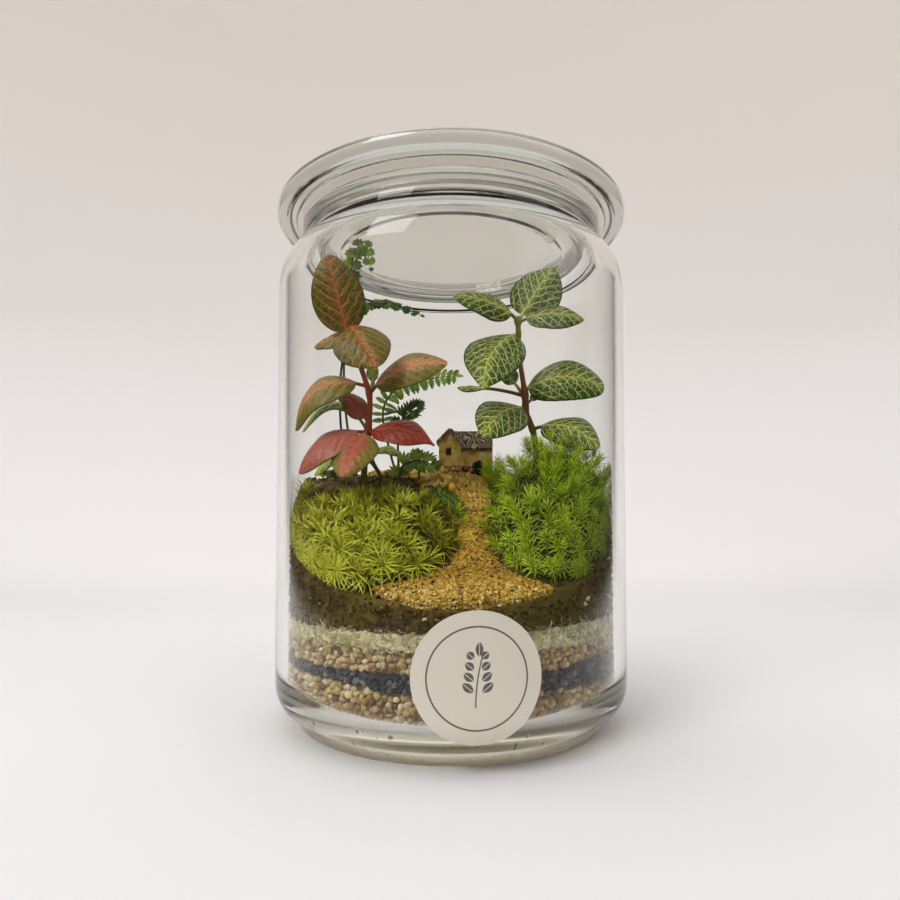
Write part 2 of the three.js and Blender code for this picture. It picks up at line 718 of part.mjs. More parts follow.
const FERNS = [
  {
    name: 'fern_tall',
    root: [-30.5, 7.5],
    path: [
      [-21, -22.6, 123.2],
      [-22.4, -21.4, 128.6],
      [-22.9, -20.4, 131.6],
      [-25.2, -19.4, 132.2],
      [-27.6, -17, 125],
      [-29, -13.6, 113],
      [-31.2, -7, 100],
      [-32.6, 4.6, 89],
    ],
    face: [0.1, -1, 0.1],
    size: 3.4,
    pairs: 8,
    leafyShare: 0.36,
    lobed: true,
  },
  {
    name: 'fern_side',
    root: [-33.5, 10.5],
    path: [
      [-7.5, -8.4, 115.4],
      [-14.8, -8, 118.4],
      [-22, -8, 119.4],
      [-28.6, -6.4, 115],
      [-33.6, 1, 101],
      [-35, 8, 88],
    ],
    face: [0, -0.75, 0.66],
    size: 3.3,
    pairs: 8,
    leafyShare: 0.36,
    lobed: true,
  },
  {
    name: 'fern_long',
    root: [-17.5, 8.5],
    path: [
      [2.6, -3, 99.4],
      [-4.1, -1.4, 99.2],
      [-11.4, 0.6, 98],
      [-18, 2.6, 95.4],
      [-21, 4.4, 90],
      [-19.6, 6.6, 80],
    ],
    face: [0, -0.8, 0.6],
    size: 4.6,
    pairs: 10,
    leafyShare: 0.56,
  },
  {
    name: 'fern_lobed',
    root: [-16.2, 7.4],
    path: [
      [-8.6, 4.6, 93],
      [-12.4, 4.8, 90.4],
      [-15.6, 5.6, 87],
      [-16.6, 7, 79],
    ],
    face: [0, -0.85, 0.5],
    size: 4.4,
    pairs: 4,
    leafyShare: 0.46,
    lobed: true,
  },
  {
    name: 'fern_front',
    root: [-15.6, -0.4],
    path: [
      [-3.6, -5.2, 71.6],
      [-7.6, -4, 73.8],
      [-11.6, -2.4, 74.2],
      [-15, -1.4, 72],
    ],
    face: [0.1, -0.7, 0.7],
    size: 4.4,
    pairs: 4,
    leafyShare: 0.72,
    lobed: true,
  },
  {
    name: 'fern_upright',
    root: [-9.6, 2.2],
    path: [
      [-10.3, 1.2, 78.4],
      [-10, 1.6, 76],
      [-9.8, 2, 73],
    ],
    face: [0, -0.9, 0.3],
    size: 3.2,
    pairs: 2,
    leafyShare: 0.4,
    lobed: true,
  },
  {
    name: 'fern_droop',
    root: [-9.4, -4.8],
    path: [
      [3.4, -17.6, 57.6],
      [1.4, -14, 61.6],
      [-2, -10.4, 65.4],
      [-6, -7.4, 67.6],
    ],
    face: [0.35, -0.6, 0.7],
    size: 3.8,
    pairs: 6,
    leafyShare: 0.74,
  },
  {
    name: 'fern_low_left',
    root: [-35.4, 3.4],
    path: [
      [-38.2, -4.2, 69.6],
      [-36.8, -2, 70.4],
      [-35.6, 1.2, 70.6],
    ],
    face: [-0.1, -0.6, 0.8],
    size: 2.8,
    pairs: 3,
    leafyShare: 0.5,
    lobed: true,
  },
];

/** One fern frond in its hole, with leaflets on the part of the rib near its tip. */
function rootedFrond({ root, path, leafyShare, ...rest }) {
  return frond({ path: rooted(path, root, 4).reverse(), leafy: 1 - leafyShare, ...rest });
}

// Bushy moss

const NEEDLE_CLEARANCE = 1.5;
const NEEDLE_REACH = 46.9;
const TUFT_ROOT = [-41.2, -10.6];

/** Stems and ribs that the moss grows round, as pairs of end points with a radius. */
function segmentsToAvoid() {
  const segments = [];
  const addPath = (points, radius) => {
    for (let i = 0; i + 1 < points.length; i += 1) {
      segments.push({ from: points[i], to: points[i + 1], radius });
    }
  };
  addPath(rooted(RED_STEM, RED_ROOT, 0), 1.4);
  addPath(rooted(YOUNG_STEM, YOUNG_ROOT, 0), 1.2);
  addPath(rooted(PALE_STEM, PALE_ROOT, 0), 1.4);
  addPath([at(...TUFT_ROOT, 58), at(...TUFT_ROOT, 66)], 3);
  for (const fern of FERNS) {
    addPath(rooted(fern.path, fern.root, 0), fern.size + 0.5);
  }
  for (const plant of [RED_LEAVES, YOUNG_LEAVES, PALE_LEAVES]) {
    for (const { from, to, width } of plant) {
      addPath([at(...from), at(...to)], 0.62 * width);
    }
  }
  for (const { centre, size } of STONES) {
    addPath([at(...centre), at(...centre).setX(centre[0] + 0.1)], size[0]);
  }
  return segments;
}

const avoided = segmentsToAvoid();

/** Bends a needle's tip up from the soil and in from the glass. */
function bendInside(tip) {
  const pull = Math.min(1, NEEDLE_REACH / Math.hypot(tip.x, tip.y));
  tip.x *= pull;
  tip.y *= pull;
  tip.z = Math.max(tip.z, groundHeight(tip.x, tip.y) + 2.9);
  return tip;
}

/** True where a needle from root to tip keeps clear of the stems, leaves and ribs. */
function needleIsClear(root, tip) {
  const nearest = new THREE.Vector3();
  return avoided.every(({ from, to, radius }) => {
    const line = new THREE.Line3(from, to);
    return [0, 0.5, 1].every((share) => {
      const point = root.clone().lerp(tip, share);
      line.closestPointToPoint(point, true, nearest);
      return nearest.distanceTo(point) > radius + NEEDLE_CLEARANCE * (1 - 0.6 * share);
    });
  });
}

/**
 * A shoot of moss: a slim many-sided body in which nearly every face is drawn out
 * into a three-sided needle. `lowest` bars needles that would point down into the bush.
 */
function mossShoot(centre, up, girth, stretch, needle, lowest, random) {
  const ball = bareBall(0);
  const source = ball.attributes.position;
  const turn = new THREE.Quaternion().setFromUnitVectors(at(0, 0, 1), up.clone().normalize());
  const spinAngle = random() * Math.PI;
  const positions = [];
  const corner = (i) => at(source.getX(i), source.getY(i), source.getZ(i) * stretch)
    .applyAxisAngle(at(0, 0, 1), spinAngle)
    .multiplyScalar(girth)
    .applyQuaternion(turn)
    .add(centre);
  for (let i = 0; i < source.count; i += 3) {
    const face = [corner(i), corner(i + 1), corner(i + 2)];
    const middle = face[0].clone().add(face[1]).add(face[2]).divideScalar(3);
    const outward = middle.clone().sub(centre).normalize();
    const reach = needle * (0.75 + 0.5 * random());
    const tip = bendInside(middle.clone().addScaledVector(outward, reach).addScaledVector(up, 0.28 * reach));
    if (outward.dot(up) > lowest && needleIsClear(middle, tip)) {
      for (let k = 0; k < 3; k += 1) {
        positions.push(...face[k].toArray(), ...face[(k + 1) % 3].toArray(), ...tip.toArray());
      }
    } else {
      positions.push(...face[0].toArray(), ...face[1].toArray(), ...face[2].toArray());
    }
  }
  const geometry = new THREE.BufferGeometry();
  geometry.setAttribute('position', new THREE.Float32BufferAttribute(positions, 3));
  return toSolid(geometry);
}

const MOSS = [
  {
    name: 'moss_left',
    centre: [-22.8, -22.4],
    semi: [23.5, 14.2],
    turn: 8,
    height: [3.6, 5],
    needle: 5.4,
    spacing: 8.8,
    seed: 5,
    color: '#7d8f2c',
  },
  {
    name: 'moss_right',
    centre: [28.4, -20.6],
    semi: [18.2, 14.8],
    turn: 14,
    height: [4.4, 23.5],
    needle: 5,
    spacing: 7.4,
    seed: 9,
    color: '#5f8a2a',
  },
];

const MOSS_EDGE = 46.2;

/** How far a moss bush reaches from its centre in one direction, inside the glass. */
function mossReach({ centre, semi, turn }, angle) {
  const local = angle - THREE.MathUtils.degToRad(turn);
  const oval = 1 / Math.hypot(Math.cos(local) / semi[0], Math.sin(local) / semi[1]);
  const along = centre[0] * Math.cos(angle) + centre[1] * Math.sin(angle);
  const square = centre[0] ** 2 + centre[1] ** 2;
  const toGlass = -along + Math.sqrt(along * along - square + MOSS_EDGE ** 2);
  return Math.min(oval, toGlass);
}

/** Height of a moss bush's core above the soil: taller towards the back. */
function mossHeight({ centre, semi, height }, x, y) {
  const back = THREE.MathUtils.clamp((y - centre[1] + semi[1]) / (2 * semi[1]), 0, 1);
  return THREE.MathUtils.lerp(height[0], height[1], back);
}

/** A bush of moss: a low core that follows the soil, with shoots sunk into it. */
function mossBush(bush) {
  const random = seededRandom(bush.seed);
  const place = (u, v) => {
    const angle = u * 2 * Math.PI;
    const reach = mossReach(bush, angle) * v;
    return [bush.centre[0] + reach * Math.cos(angle), bush.centre[1] + reach * Math.sin(angle)];
  };
  const coreTop = (x, y, v) => groundHeight(x, y) + 1.4 + mossHeight(bush, x, y) * (1 - v ** 5);
  const core = closedSheet(
    16,
    4,
    (u, v) => at(...place(u, v), coreTop(...place(u, v), v)),
    (u, v) => at(...place(u, v), groundHeight(...place(u, v)) + 0.35),
  );
  const pieces = [toSolid(core)];
  const rings = Math.round(bush.semi[0] / bush.spacing);
  for (let ring = 0; ring <= rings; ring += 1) {
    const share = ring === 0 ? 0 : (ring + 0.1) / (rings + 0.35);
    const girth = Math.PI * share * (bush.semi[0] + bush.semi[1]);
    const count = Math.max(1, Math.round(girth / bush.spacing));
    for (let k = 0; k < count; k += 1) {
      const [x, y] = place((k + 0.5 * (ring % 2) + 0.3 * random()) / count, share);
      const lean = at((x - bush.centre[0]) / 26, (y - bush.centre[1]) / 26 - 0.3, 1).normalize();
      const root = at(x, y, coreTop(x, y, share));
      const lowest = share > 0.7 ? -0.5 : 0;
      pieces.push(mossShoot(root.addScaledVector(lean, 0.8), lean, 1.3, 1.8, bush.needle, lowest, random));
    }
  }
  return largestBody(join(pieces));
}

/** A single star-shaped moss shoot at the left edge of the planting. */
function mossTuft() {
  const random = seededRandom(31);
  const [x, y] = TUFT_ROOT;
  const foot = toSolid(new THREE.CylinderGeometry(1, 0.9, 6, 6).rotateX(Math.PI / 2)
    .translate(x, y, groundHeight(x, y) + 0.8));
  const star = mossShoot(at(x, y, groundHeight(x, y) + 4.6), at(0, 0, 1), 1.4, 1.3, 4.4, -0.6, random);
  return largestBody(foot.add(star));
}

// The sand path

/** Left and right edge of the path at each step from the cottage to the front glass. */
const PATH_STATIONS = [
  { y: 4.8, left: -4.2, right: 10.4 },
  { y: -2, left: -3, right: 10.8 },
  { y: -8, left: -1.2, right: 10.9 },
  { y: -14, left: 0.2, right: 10.2 },
  { y: -20, left: 1.4, right: 9.6 },
  { y: -26, left: 1.8, right: 9.8 },
  { y: -31, left: 1, right: 11.5 },
  { y: -34, left: -4, right: 15 },
  { y: -37, left: -10.5, right: 19.5 },
  { y: -39.5, left: -17, right: 23 },
  { y: -41.5, left: -16, right: 19.5 },
  { y: -43.5, left: -12, right: 14 },
  { y: -45.4, left: -6, right: 6.6 },
];
const PATH_THICKNESS = 1.9;
const PATH_LIFT = 0.45;

/** A strip of coarse sand that lies on the soil and fans out behind the glass. */
function sandPath() {
  const ACROSS = 6;
  const corner = (i, j, upper) => {
    const { y, left, right } = PATH_STATIONS[i];
    const share = j / ACROSS;
    const x = THREE.MathUtils.lerp(left, right, share);
    const crown = 0.45 + 0.55 * Math.pow(Math.sin(Math.PI * share), 0.6);
    const grain = 0.22 * Math.sin(2.3 * x + i) * Math.sin(1.9 * i + j);
    return at(x, y, groundHeight(x, y) + PATH_LIFT + (upper ? PATH_THICKNESS * crown + grain : 0));
  };
  return gridPlate(PATH_STATIONS.length - 1, ACROSS, corner);
}

// Yellow pebbles on the crest

const PEBBLE_BED = { centre: [-16, 15.5], semi: [11, 6.5], thickness: 1.2, pebbles: 9, seed: 17 };

/** Pebbles sunk into a thin bed that follows the soil, all one body. */
function pebblePatch() {
  const { centre, semi, thickness, pebbles, seed } = PEBBLE_BED;
  const random = seededRandom(seed);
  const place = (u, v) => {
    const angle = u * 2 * Math.PI;
    return [centre[0] + semi[0] * v * Math.cos(angle), centre[1] + semi[1] * v * Math.sin(angle)];
  };
  const floorAt = (x, y) => groundHeight(x, y) + GAP;
  const bedBody = closedSheet(
    14,
    2,
    (u, v) => at(...place(u, v), floorAt(...place(u, v)) + thickness),
    (u, v) => at(...place(u, v), floorAt(...place(u, v))),
  );
  const pieces = [toSolid(bedBody)];
  for (let k = 0; k < pebbles; k += 1) {
    const share = Math.sqrt((k + 0.4) / pebbles) * 0.9;
    const [x, y] = place(0.618 * k, share);
    const radius = 0.9 + 0.6 * random();
    const middle = [x, y, floorAt(x, y) + thickness + 0.1];
    pieces.push(stone(middle, [radius, radius * 0.85, radius * 0.75], seed + 83 + k, 0, 0));
  }
  return largestBody(join(pieces));
}

// The cottage, cast in one piece

/** A prism between two places along an axis, with a given outline across it. */
function prism(outline, depth) {
  const shape = new THREE.Shape(outline.map(([x, y]) => new THREE.Vector2(x, y)));
  return new THREE.ExtrudeGeometry(shape, { depth, bevelEnabled: false });
}

/** One row of plinth stones along the foot of a wall, the upper course set over the joints. */
function stoneCourse(fromX, toX, y, random) {
  const PITCH = 1.7;
  const stones = [];
  for (const { level, shift } of [{ level: 0.9, shift: 0 }, { level: 2.5, shift: 0.8 }]) {
    for (let x = fromX; x <= toX; x += PITCH) {
      const size = [0.95, 0.55, 0.72 + 0.2 * random()];
      const seed = 300 + Math.round(10 * x + level);
      stones.push(stone([Math.min(x + shift, toX + 0.4), y, level], size, seed, 0, 0));
    }
  }
  return stones;
}

/** The front wing: its gable wall and the two slopes of its roof, the right one longer. */
function gableWing() {
  const { gableHalf, gableFront, gableBack, gableTop } = HOUSE;
  const depth = gableBack - gableFront;
  const wall = [[-gableHalf, 0], [gableHalf, 0], [gableHalf, 11], [0, gableTop], [-gableHalf, 12]];
  const slopes = [
    [-3.6, 11.2],
    [0, gableTop - 0.5],
    [3.9, 9.9],
    [4.3, 10.9],
    [0.5, gableTop + 1.6],
    [-0.1, gableTop + 1.6],
    [-3.9, 12.8],
    [-4.1, 11.6],
  ];
  return [
    prism(wall, depth).rotateX(Math.PI / 2).translate(0, gableBack, 0),
    prism(slopes, depth + 1.6).rotateX(Math.PI / 2).translate(0, gableBack + 0.6, 0),
  ].map(toSolid);
}

/** The wing to the right: a plain box with a gable end and a pitched roof. */
function sideWing() {
  const { gableBack, wingEnd, wingFront, wallTop, ridgeY, ridgeTop, roofThickness } = HOUSE;
  const eaves = wallTop - 0.7;
  const ridgeUnder = ridgeTop - roofThickness;
  const slopes = [
    [wingFront - 1, eaves],
    [ridgeY, ridgeUnder],
    [gableBack + 1, eaves],
    [gableBack + 1, eaves + roofThickness],
    [ridgeY, ridgeTop],
    [wingFront - 1, eaves + roofThickness],
  ];
  const attic = [[wingFront, eaves + 0.1], [gableBack, eaves + 0.1], [ridgeY, ridgeUnder + 0.1]];
  const alongWing = (outline, length) => prism(outline, length).rotateY(Math.PI / 2).rotateX(Math.PI / 2);
  return [
    boxBetween(at(0, wingFront, 0), at(wingEnd, gableBack, wallTop)),
    toSolid(alongWing(slopes, wingEnd - 0.4).translate(0.6, 0, 0)),
    toSolid(alongWing(attic, wingEnd)),
  ];
}

/** Walls, stone plinth and both roofs, with a sunk window and a sunk door. */
function cottage() {
  const { gableHalf, gableFront, wingFront, plinth } = HOUSE;
  const random = seededRandom(41);
  const body = join([
    ...gableWing(),
    ...sideWing(),
    ...stoneCourse(-gableHalf + 0.5, gableHalf - 0.2, gableFront, random),
    ...stoneCourse(gableHalf + 1.2, 7, wingFront, random),
  ]);
  const SUNK = 0.8;
  const window = boxBetween(at(-1, gableFront - 1, plinth + 3.2), at(0.9, gableFront + SUNK, plinth + 5.3));
  const door = boxBetween(at(8.6, wingFront - 1, 0.8), at(11, wingFront + SUNK, plinth + 0.9));
  const opened = body.subtract(window).subtract(door);
  return largestBody(opened).translate([HOUSE.x, HOUSE.y, HOUSE.base]);
}

// Everything in the jar, set on the hill

const house = cottage();
const stones = STONES.map(({ name, centre, size, seed }) => ({ name, solid: stone(centre, size, seed) }));

let soil = toSolid(bed(bedFaces.separatorTop, groundHeight, GAP, 6));
const seat = boxBetween(
  at(HOUSE.x - HOUSE.gableHalf - 0.9, HOUSE.y + HOUSE.gableFront - 0.9, HOUSE.base - 0.35),
  at(HOUSE.x + HOUSE.wingEnd + 0.5, HOUSE.y + HOUSE.gableBack + 0.6, HOUSE.base + 20),
);
const cuts = [
  seat,
  ...STONES.map(({ centre, size, seed }) => stone(centre, size, seed, 0.4)),
  stemHole(RED_ROOT, 1.7, 7.5),
  stemHole(YOUNG_ROOT, 1.3, 7.5),
  stemHole(PALE_ROOT, 1.7, 7.5),
  stemHole(TUFT_ROOT, 1.4, 3),
  ...FERNS.map(({ root }) => stemHole(root, 0.95, 4.5)),
];
for (const cut of cuts) {
  soil = soil.subtract(cut);
}

addPart('soil', largestBody(soil), finish('#3b3226', 0.95));
addPart('sand_path', sandPath().subtract(seat), finish('#c39a3e', 0.8));
addPart('pebbles_hilltop', pebblePatch().subtract(seat), finish('#d9b65a', 0.7));
addPart('house', house, finish('#b8904a', 0.85));
for (const { name, solid } of stones) {
  addPart(name, solid, finish('#6b5045', 0.8));
}

const STOUT_STEM = [0.8, 0.85, 0.95, 1.1, 1.2, 1.2];
const SLIM_STEM = [0.5, 0.6, 0.8, 0.8];
addPart('fittonia_red', leafyStem(RED_STEM, RED_ROOT, STOUT_STEM, RED_LEAVES), finish('#a8573f', 0.5));
addPart('fittonia_young', leafyStem(YOUNG_STEM, YOUNG_ROOT, SLIM_STEM, YOUNG_LEAVES), finish('#8fae4a', 0.5));
addPart('fittonia_white', leafyStem(PALE_STEM, PALE_ROOT, STOUT_STEM, PALE_LEAVES), finish('#4f7a34', 0.5));
for (const fern of FERNS) {
  addPart(fern.name, rootedFrond(fern), finish('#2f6a2b', 0.6));
}
for (const bush of MOSS) {
  addPart(bush.name, mossBush(bush), finish(bush.color, 0.9));
}
addPart('moss_tuft', mossTuft(), finish('#93a63a', 0.9));

export default model;
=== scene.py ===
"""Looks of a planted glass terrarium.

A lidded storage jar holds beds of gravel and grit, a hill of soil with a sand path and a
small cast cottage, two nerve plants, fern fronds and bushy moss.

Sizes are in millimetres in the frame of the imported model: +Z up, the jar's axis on Z and
the side with the sticker facing -Y. Finished meshes are in metres.
"""

from __future__ import annotations

import logging
import math
from collections.abc import Callable, Sequence
from dataclasses import dataclass, field
from enum import Enum
from typing import TypeAlias

import bpy
import numpy as np
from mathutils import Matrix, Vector, noise

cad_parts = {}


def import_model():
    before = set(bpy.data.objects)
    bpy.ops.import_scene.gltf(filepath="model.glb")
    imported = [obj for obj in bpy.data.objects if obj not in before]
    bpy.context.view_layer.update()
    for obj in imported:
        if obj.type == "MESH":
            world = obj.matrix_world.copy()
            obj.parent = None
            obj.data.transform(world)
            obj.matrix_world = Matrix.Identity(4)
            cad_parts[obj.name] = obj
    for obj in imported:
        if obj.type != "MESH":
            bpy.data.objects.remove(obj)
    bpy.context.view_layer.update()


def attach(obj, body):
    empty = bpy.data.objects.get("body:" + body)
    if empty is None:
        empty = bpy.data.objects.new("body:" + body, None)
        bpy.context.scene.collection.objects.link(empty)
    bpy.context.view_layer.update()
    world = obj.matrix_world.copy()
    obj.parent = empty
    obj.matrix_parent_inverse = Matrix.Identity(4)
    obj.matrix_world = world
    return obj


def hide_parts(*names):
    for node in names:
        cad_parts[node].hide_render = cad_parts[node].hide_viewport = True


LOG = logging.getLogger("terrarium")

MM = 0.001
CM = 10.0
GOLDEN_TURN = math.pi * (3 - math.sqrt(5))
NOISE_SEED = 7
FULL_TURN = 6.28
UP = np.array([0, 0, 1.0])

Array = np.ndarray
Pair = tuple[float, float]
Point = tuple[float, float, float]
Colour = tuple[float, float, float]
Stops = tuple[tuple[float, Colour], ...]
Height = Callable[[Array, Array], Array]
Place = Callable[[Array, Array], tuple[Array, Array]]
Number: TypeAlias = "float | Wire"


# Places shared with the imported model

FILL_RADIUS = 46.95
HEEL_CENTRE = (39.5, 16.0)
HEEL_WIDTH = 8.0
HEEL_DROP = 9.2
JAR_RADIUS = 50.5
FOOT_RADIUS = 44.1
FOOT_HEIGHT = 3.7
WALL_TOP = 12.5
HILL_FRONT = (-47.0, 36.0)
HILL_CREST = (7.0, 69.3)
HILL_BACK_RISE = 2.6
HILL_BACK_SPAN = (3.0, 30.0)
HILL_SWAY = 0.035
HILL_LUMPS = 0.5
HOUSE_PLACE = (-0.4, 12.0, 68.4)
SEAT_LOW = (-4.7, 6.1)
SEAT_HIGH = (13.7, 17.2)
SEAT_DEPTH = 0.3
MOSS_EDGE = 46.2


def smoothstep(value: Array, low: float, high: float) -> Array:
    """Eases from 0 at low to 1 at high."""
    share = np.clip((value - low) / (high - low), 0, 1)
    return share * share * (3 - 2 * share)


def ground_height(x: Array, y: Array) -> Array:
    """Height of the soil: low at the front, high and level at the back.

    Args:
        x: Places across the jar.
        y: Places from front to back.

    Returns:
        The height of the soil's smooth top at each place.
    """
    climb = np.minimum(1, (y - HILL_FRONT[0]) / (HILL_CREST[0] - HILL_FRONT[0]))
    eased = climb - HILL_SWAY * np.sin(2 * np.pi * climb)
    back = smoothstep(y, HILL_CREST[0] + HILL_BACK_SPAN[0], HILL_BACK_SPAN[1]) * HILL_BACK_RISE
    lumps = HILL_LUMPS * np.sin(0.23 * x + 0.6) * np.sin(0.19 * y) * climb
    return HILL_FRONT[1] + (HILL_CREST[1] - HILL_FRONT[1]) * eased + back + lumps


def seated(x: Array, y: Array, height: Array) -> Array:
    """Lowers a height to the level seat under the cottage."""
    across = (x > SEAT_LOW[0]) & (x < SEAT_HIGH[0])
    along = (y > SEAT_LOW[1]) & (y < SEAT_HIGH[1])
    return np.where(across & along, np.minimum(height, HOUSE_PLACE[2] - SEAT_DEPTH), height)


def glass_inside(height: Array) -> Array:
    """Radius that the fill reaches at a height, drawn in over the round heel."""
    drop = np.clip((HEEL_CENTRE[1] - height) / HEEL_DROP, 0, 0.999)
    gap = HEEL_CENTRE[0] + HEEL_WIDTH - FILL_RADIUS
    return HEEL_CENTRE[0] + HEEL_WIDTH * np.sqrt(1 - drop * drop) - gap


def inside_glass(points: Array, reach: float = FILL_RADIUS) -> Array:
    """Pulls points that stand past a radius straight back to it."""
    pull = np.minimum(1, reach / np.maximum(np.hypot(points[:, 0], points[:, 1]), 1e-6))
    held = points.copy()
    held[:, 0] *= pull
    held[:, 1] *= pull
    return held


def polar(reach: Array, turn: Array) -> tuple[Array, Array]:
    """x and y at a distance from the axis and a turn in radians."""
    return reach * np.cos(turn), reach * np.sin(turn)


def disc(radius: float, power: float = 1.0) -> Place:
    """Places of a round sheet: x and y for a turn and a ring, both from 0 to 1."""
    return lambda turn, ring: polar(radius * ring**power, 2 * np.pi * turn)


# Meshes


def rows_of(items: bpy.types.bpy_prop_collection, key: str, kind: type = float) -> Array:
    """One property of a mesh's items, as rows of three numbers."""
    numbers = np.empty(len(items) * 3, dtype=kind)
    items.foreach_get(key, numbers)
    return numbers.reshape(-1, 3)


def keep_values(mesh: bpy.types.Mesh, values: dict[str, Array]) -> None:
    """Stores named values at a mesh's points, for its finish to read."""
    for name, value in values.items():
        attribute = mesh.attributes.new(name, "FLOAT", "POINT")
        attribute.data.foreach_set("value", value.astype(np.float32))


@dataclass
class Shape:
    """Points in millimetres and triangles, with values kept at each point."""

    points: Array
    triangles: Array
    values: dict[str, Array] = field(default_factory=dict)

    @classmethod
    def of(cls, source: bpy.types.Object) -> Shape:
        """Reads an object's mesh, in its own units, and removes the object."""
        mesh = source.data
        mesh.calc_loop_triangles()
        shape = cls(rows_of(mesh.vertices, "co"), rows_of(mesh.loop_triangles, "vertices", np.int64))
        bpy.data.objects.remove(source)
        return shape

    def copies(
        self,
        places: Array,
        turns: Array,
        sizes: Array,
        values: dict[str, Array] | None = None,
    ) -> Shape:
        """Repeats the shape: each copy is sized, turned and put in its place.

        Args:
            places: One row of x, y and z for each copy.
            turns: One 3 by 3 rotation for each copy.
            sizes: One row of three scales for each copy.
            values: Named values, one number for each copy.

        Returns:
            All the copies as one shape.
        """
        count = len(places)
        scaled = self.points[None, :, :] * sizes[:, None, :]
        turned = np.einsum("nij,nkj->nki", turns, scaled)
        points = (turned + places[:, None, :]).reshape(-1, 3)
        offsets = np.arange(count)[:, None, None] * len(self.points)
        triangles = (self.triangles[None] + offsets).reshape(-1, 3)
        own = {name: np.tile(value, count) for name, value in self.values.items()}
        given = {name: np.repeat(value, len(self.points)) for name, value in (values or {}).items()}
        return Shape(points, triangles, own | given)

    @staticmethod
    def joined(shapes: Sequence[Shape]) -> Shape:
        """Puts several shapes in one; a value that one of them lacks is 0 there."""
        points = np.concatenate([shape.points for shape in shapes])
        offsets = np.cumsum([0] + [len(shape.points) for shape in shapes[:-1]])
        triangles = [shape.triangles + offset for shape, offset in zip(shapes, offsets)]
        values = {}
        for name in dict.fromkeys(name for shape in shapes for name in shape.values):
            kept = [shape.values.get(name, np.zeros(len(shape.points))) for shape in shapes]
            values[name] = np.concatenate(kept)
        return Shape(points, np.concatenate(triangles), values)

    def piece(self, name: str, smooth_angle: float = 60.0) -> bpy.types.Object:
        """Makes an object of the shape, in metres.

        Args:
            name: The object's name.
            smooth_angle: Edges sharper than this many degrees stay sharp.

        Returns:
            The new object, at the origin.
        """
        mesh = bpy.data.meshes.new(name)
        mesh.from_pydata((self.points * MM).tolist(), [], self.triangles.tolist())
        keep_values(mesh, self.values)
        mesh.shade_smooth()
        mesh.set_sharp_from_angle(angle=math.radians(smooth_angle))
        piece = bpy.data.objects.new(name, mesh)
        bpy.context.scene.collection.objects.link(piece)
        return piece


def deselect_all() -> None:
    """Leaves edit mode and selects nothing."""
    if bpy.context.object and bpy.context.object.mode != "OBJECT":
        bpy.ops.object.mode_set(mode="OBJECT")
    bpy.ops.object.select_all(action="DESELECT")


def join_objects(name: str, pieces: Sequence[bpy.types.Object]) -> bpy.types.Object:
    """Joins objects into one, under a new name."""
    deselect_all()
    for piece in pieces:
        piece.select_set(True)
    bpy.context.view_layer.objects.active = pieces[0]
    bpy.ops.object.join()
    pieces[0].name = name
    pieces[0].data.name = name
    return pieces[0]


def apply_modifier(piece: bpy.types.Object, kind: str, settings: dict[str, object]) -> None:
    """Adds one modifier with its settings and applies it.

    Args:
        piece: The object that gets it.
        kind: The modifier's type.
        settings: Its properties by name.
    """
    deselect_all()
    piece.select_set(True)
    bpy.context.view_layer.objects.active = piece
    modifier = piece.modifiers.new(kind.lower(), kind)
    for key, value in settings.items():
        setattr(modifier, key, value)
    bpy.ops.object.modifier_apply(modifier=modifier.name)


WELD = 1e-7
SPUN_SMOOTH_ANGLE = 50


def spun(name: str, outline: Sequence[Pair], steps: int) -> bpy.types.Object:
    """Draws an outline by extruding one vertex and spins it about the Z axis.

    Args:
        name: The new object's name.
        outline: Radius and height pairs; it starts and ends on the axis, or closes on itself.
        steps: Steps of the spin.

    Returns:
        A closed solid of revolution in metres, with its faces pointing out.
    """
    deselect_all()
    bpy.ops.mesh.primitive_plane_add(size=MM)
    piece = bpy.context.object
    piece.name = name
    piece.data.name = name
    bpy.ops.object.mode_set(mode="EDIT")
    bpy.ops.mesh.select_all(action="SELECT")
    bpy.ops.mesh.merge(type="CENTER")
    first = outline[0]
    bpy.ops.transform.translate(value=(first[0] * MM, 0, first[1] * MM))
    for (r0, z0), (r1, z1) in zip(outline, outline[1:]):
        step = ((r1 - r0) * MM, 0, (z1 - z0) * MM)
        bpy.ops.mesh.extrude_region_move(TRANSFORM_OT_translate={"value": step})
    bpy.ops.mesh.select_all(action="SELECT")
    bpy.ops.mesh.remove_doubles(threshold=WELD)
    bpy.ops.mesh.spin(steps=steps, angle=2 * math.pi, center=(0, 0, 0), axis=(0, 0, 1))
    bpy.ops.mesh.select_all(action="SELECT")
    bpy.ops.mesh.remove_doubles(threshold=WELD)
    bpy.ops.mesh.normals_make_consistent(inside=False)
    bpy.ops.object.mode_set(mode="OBJECT")
    piece.data.shade_smooth()
    piece.data.set_sharp_from_angle(angle=math.radians(SPUN_SMOOTH_ANGLE))
    return piece


def arc(centre: Pair, radii: Pair, start: float, end: float, steps: int) -> list[Pair]:
    """Points of a part of an ellipse, from one angle in degrees to another."""
    angles = np.radians(np.linspace(start, end, steps + 1))
    return [(centre[0] + radii[0] * math.cos(a), centre[1] + radii[1] * math.sin(a)) for a in angles]


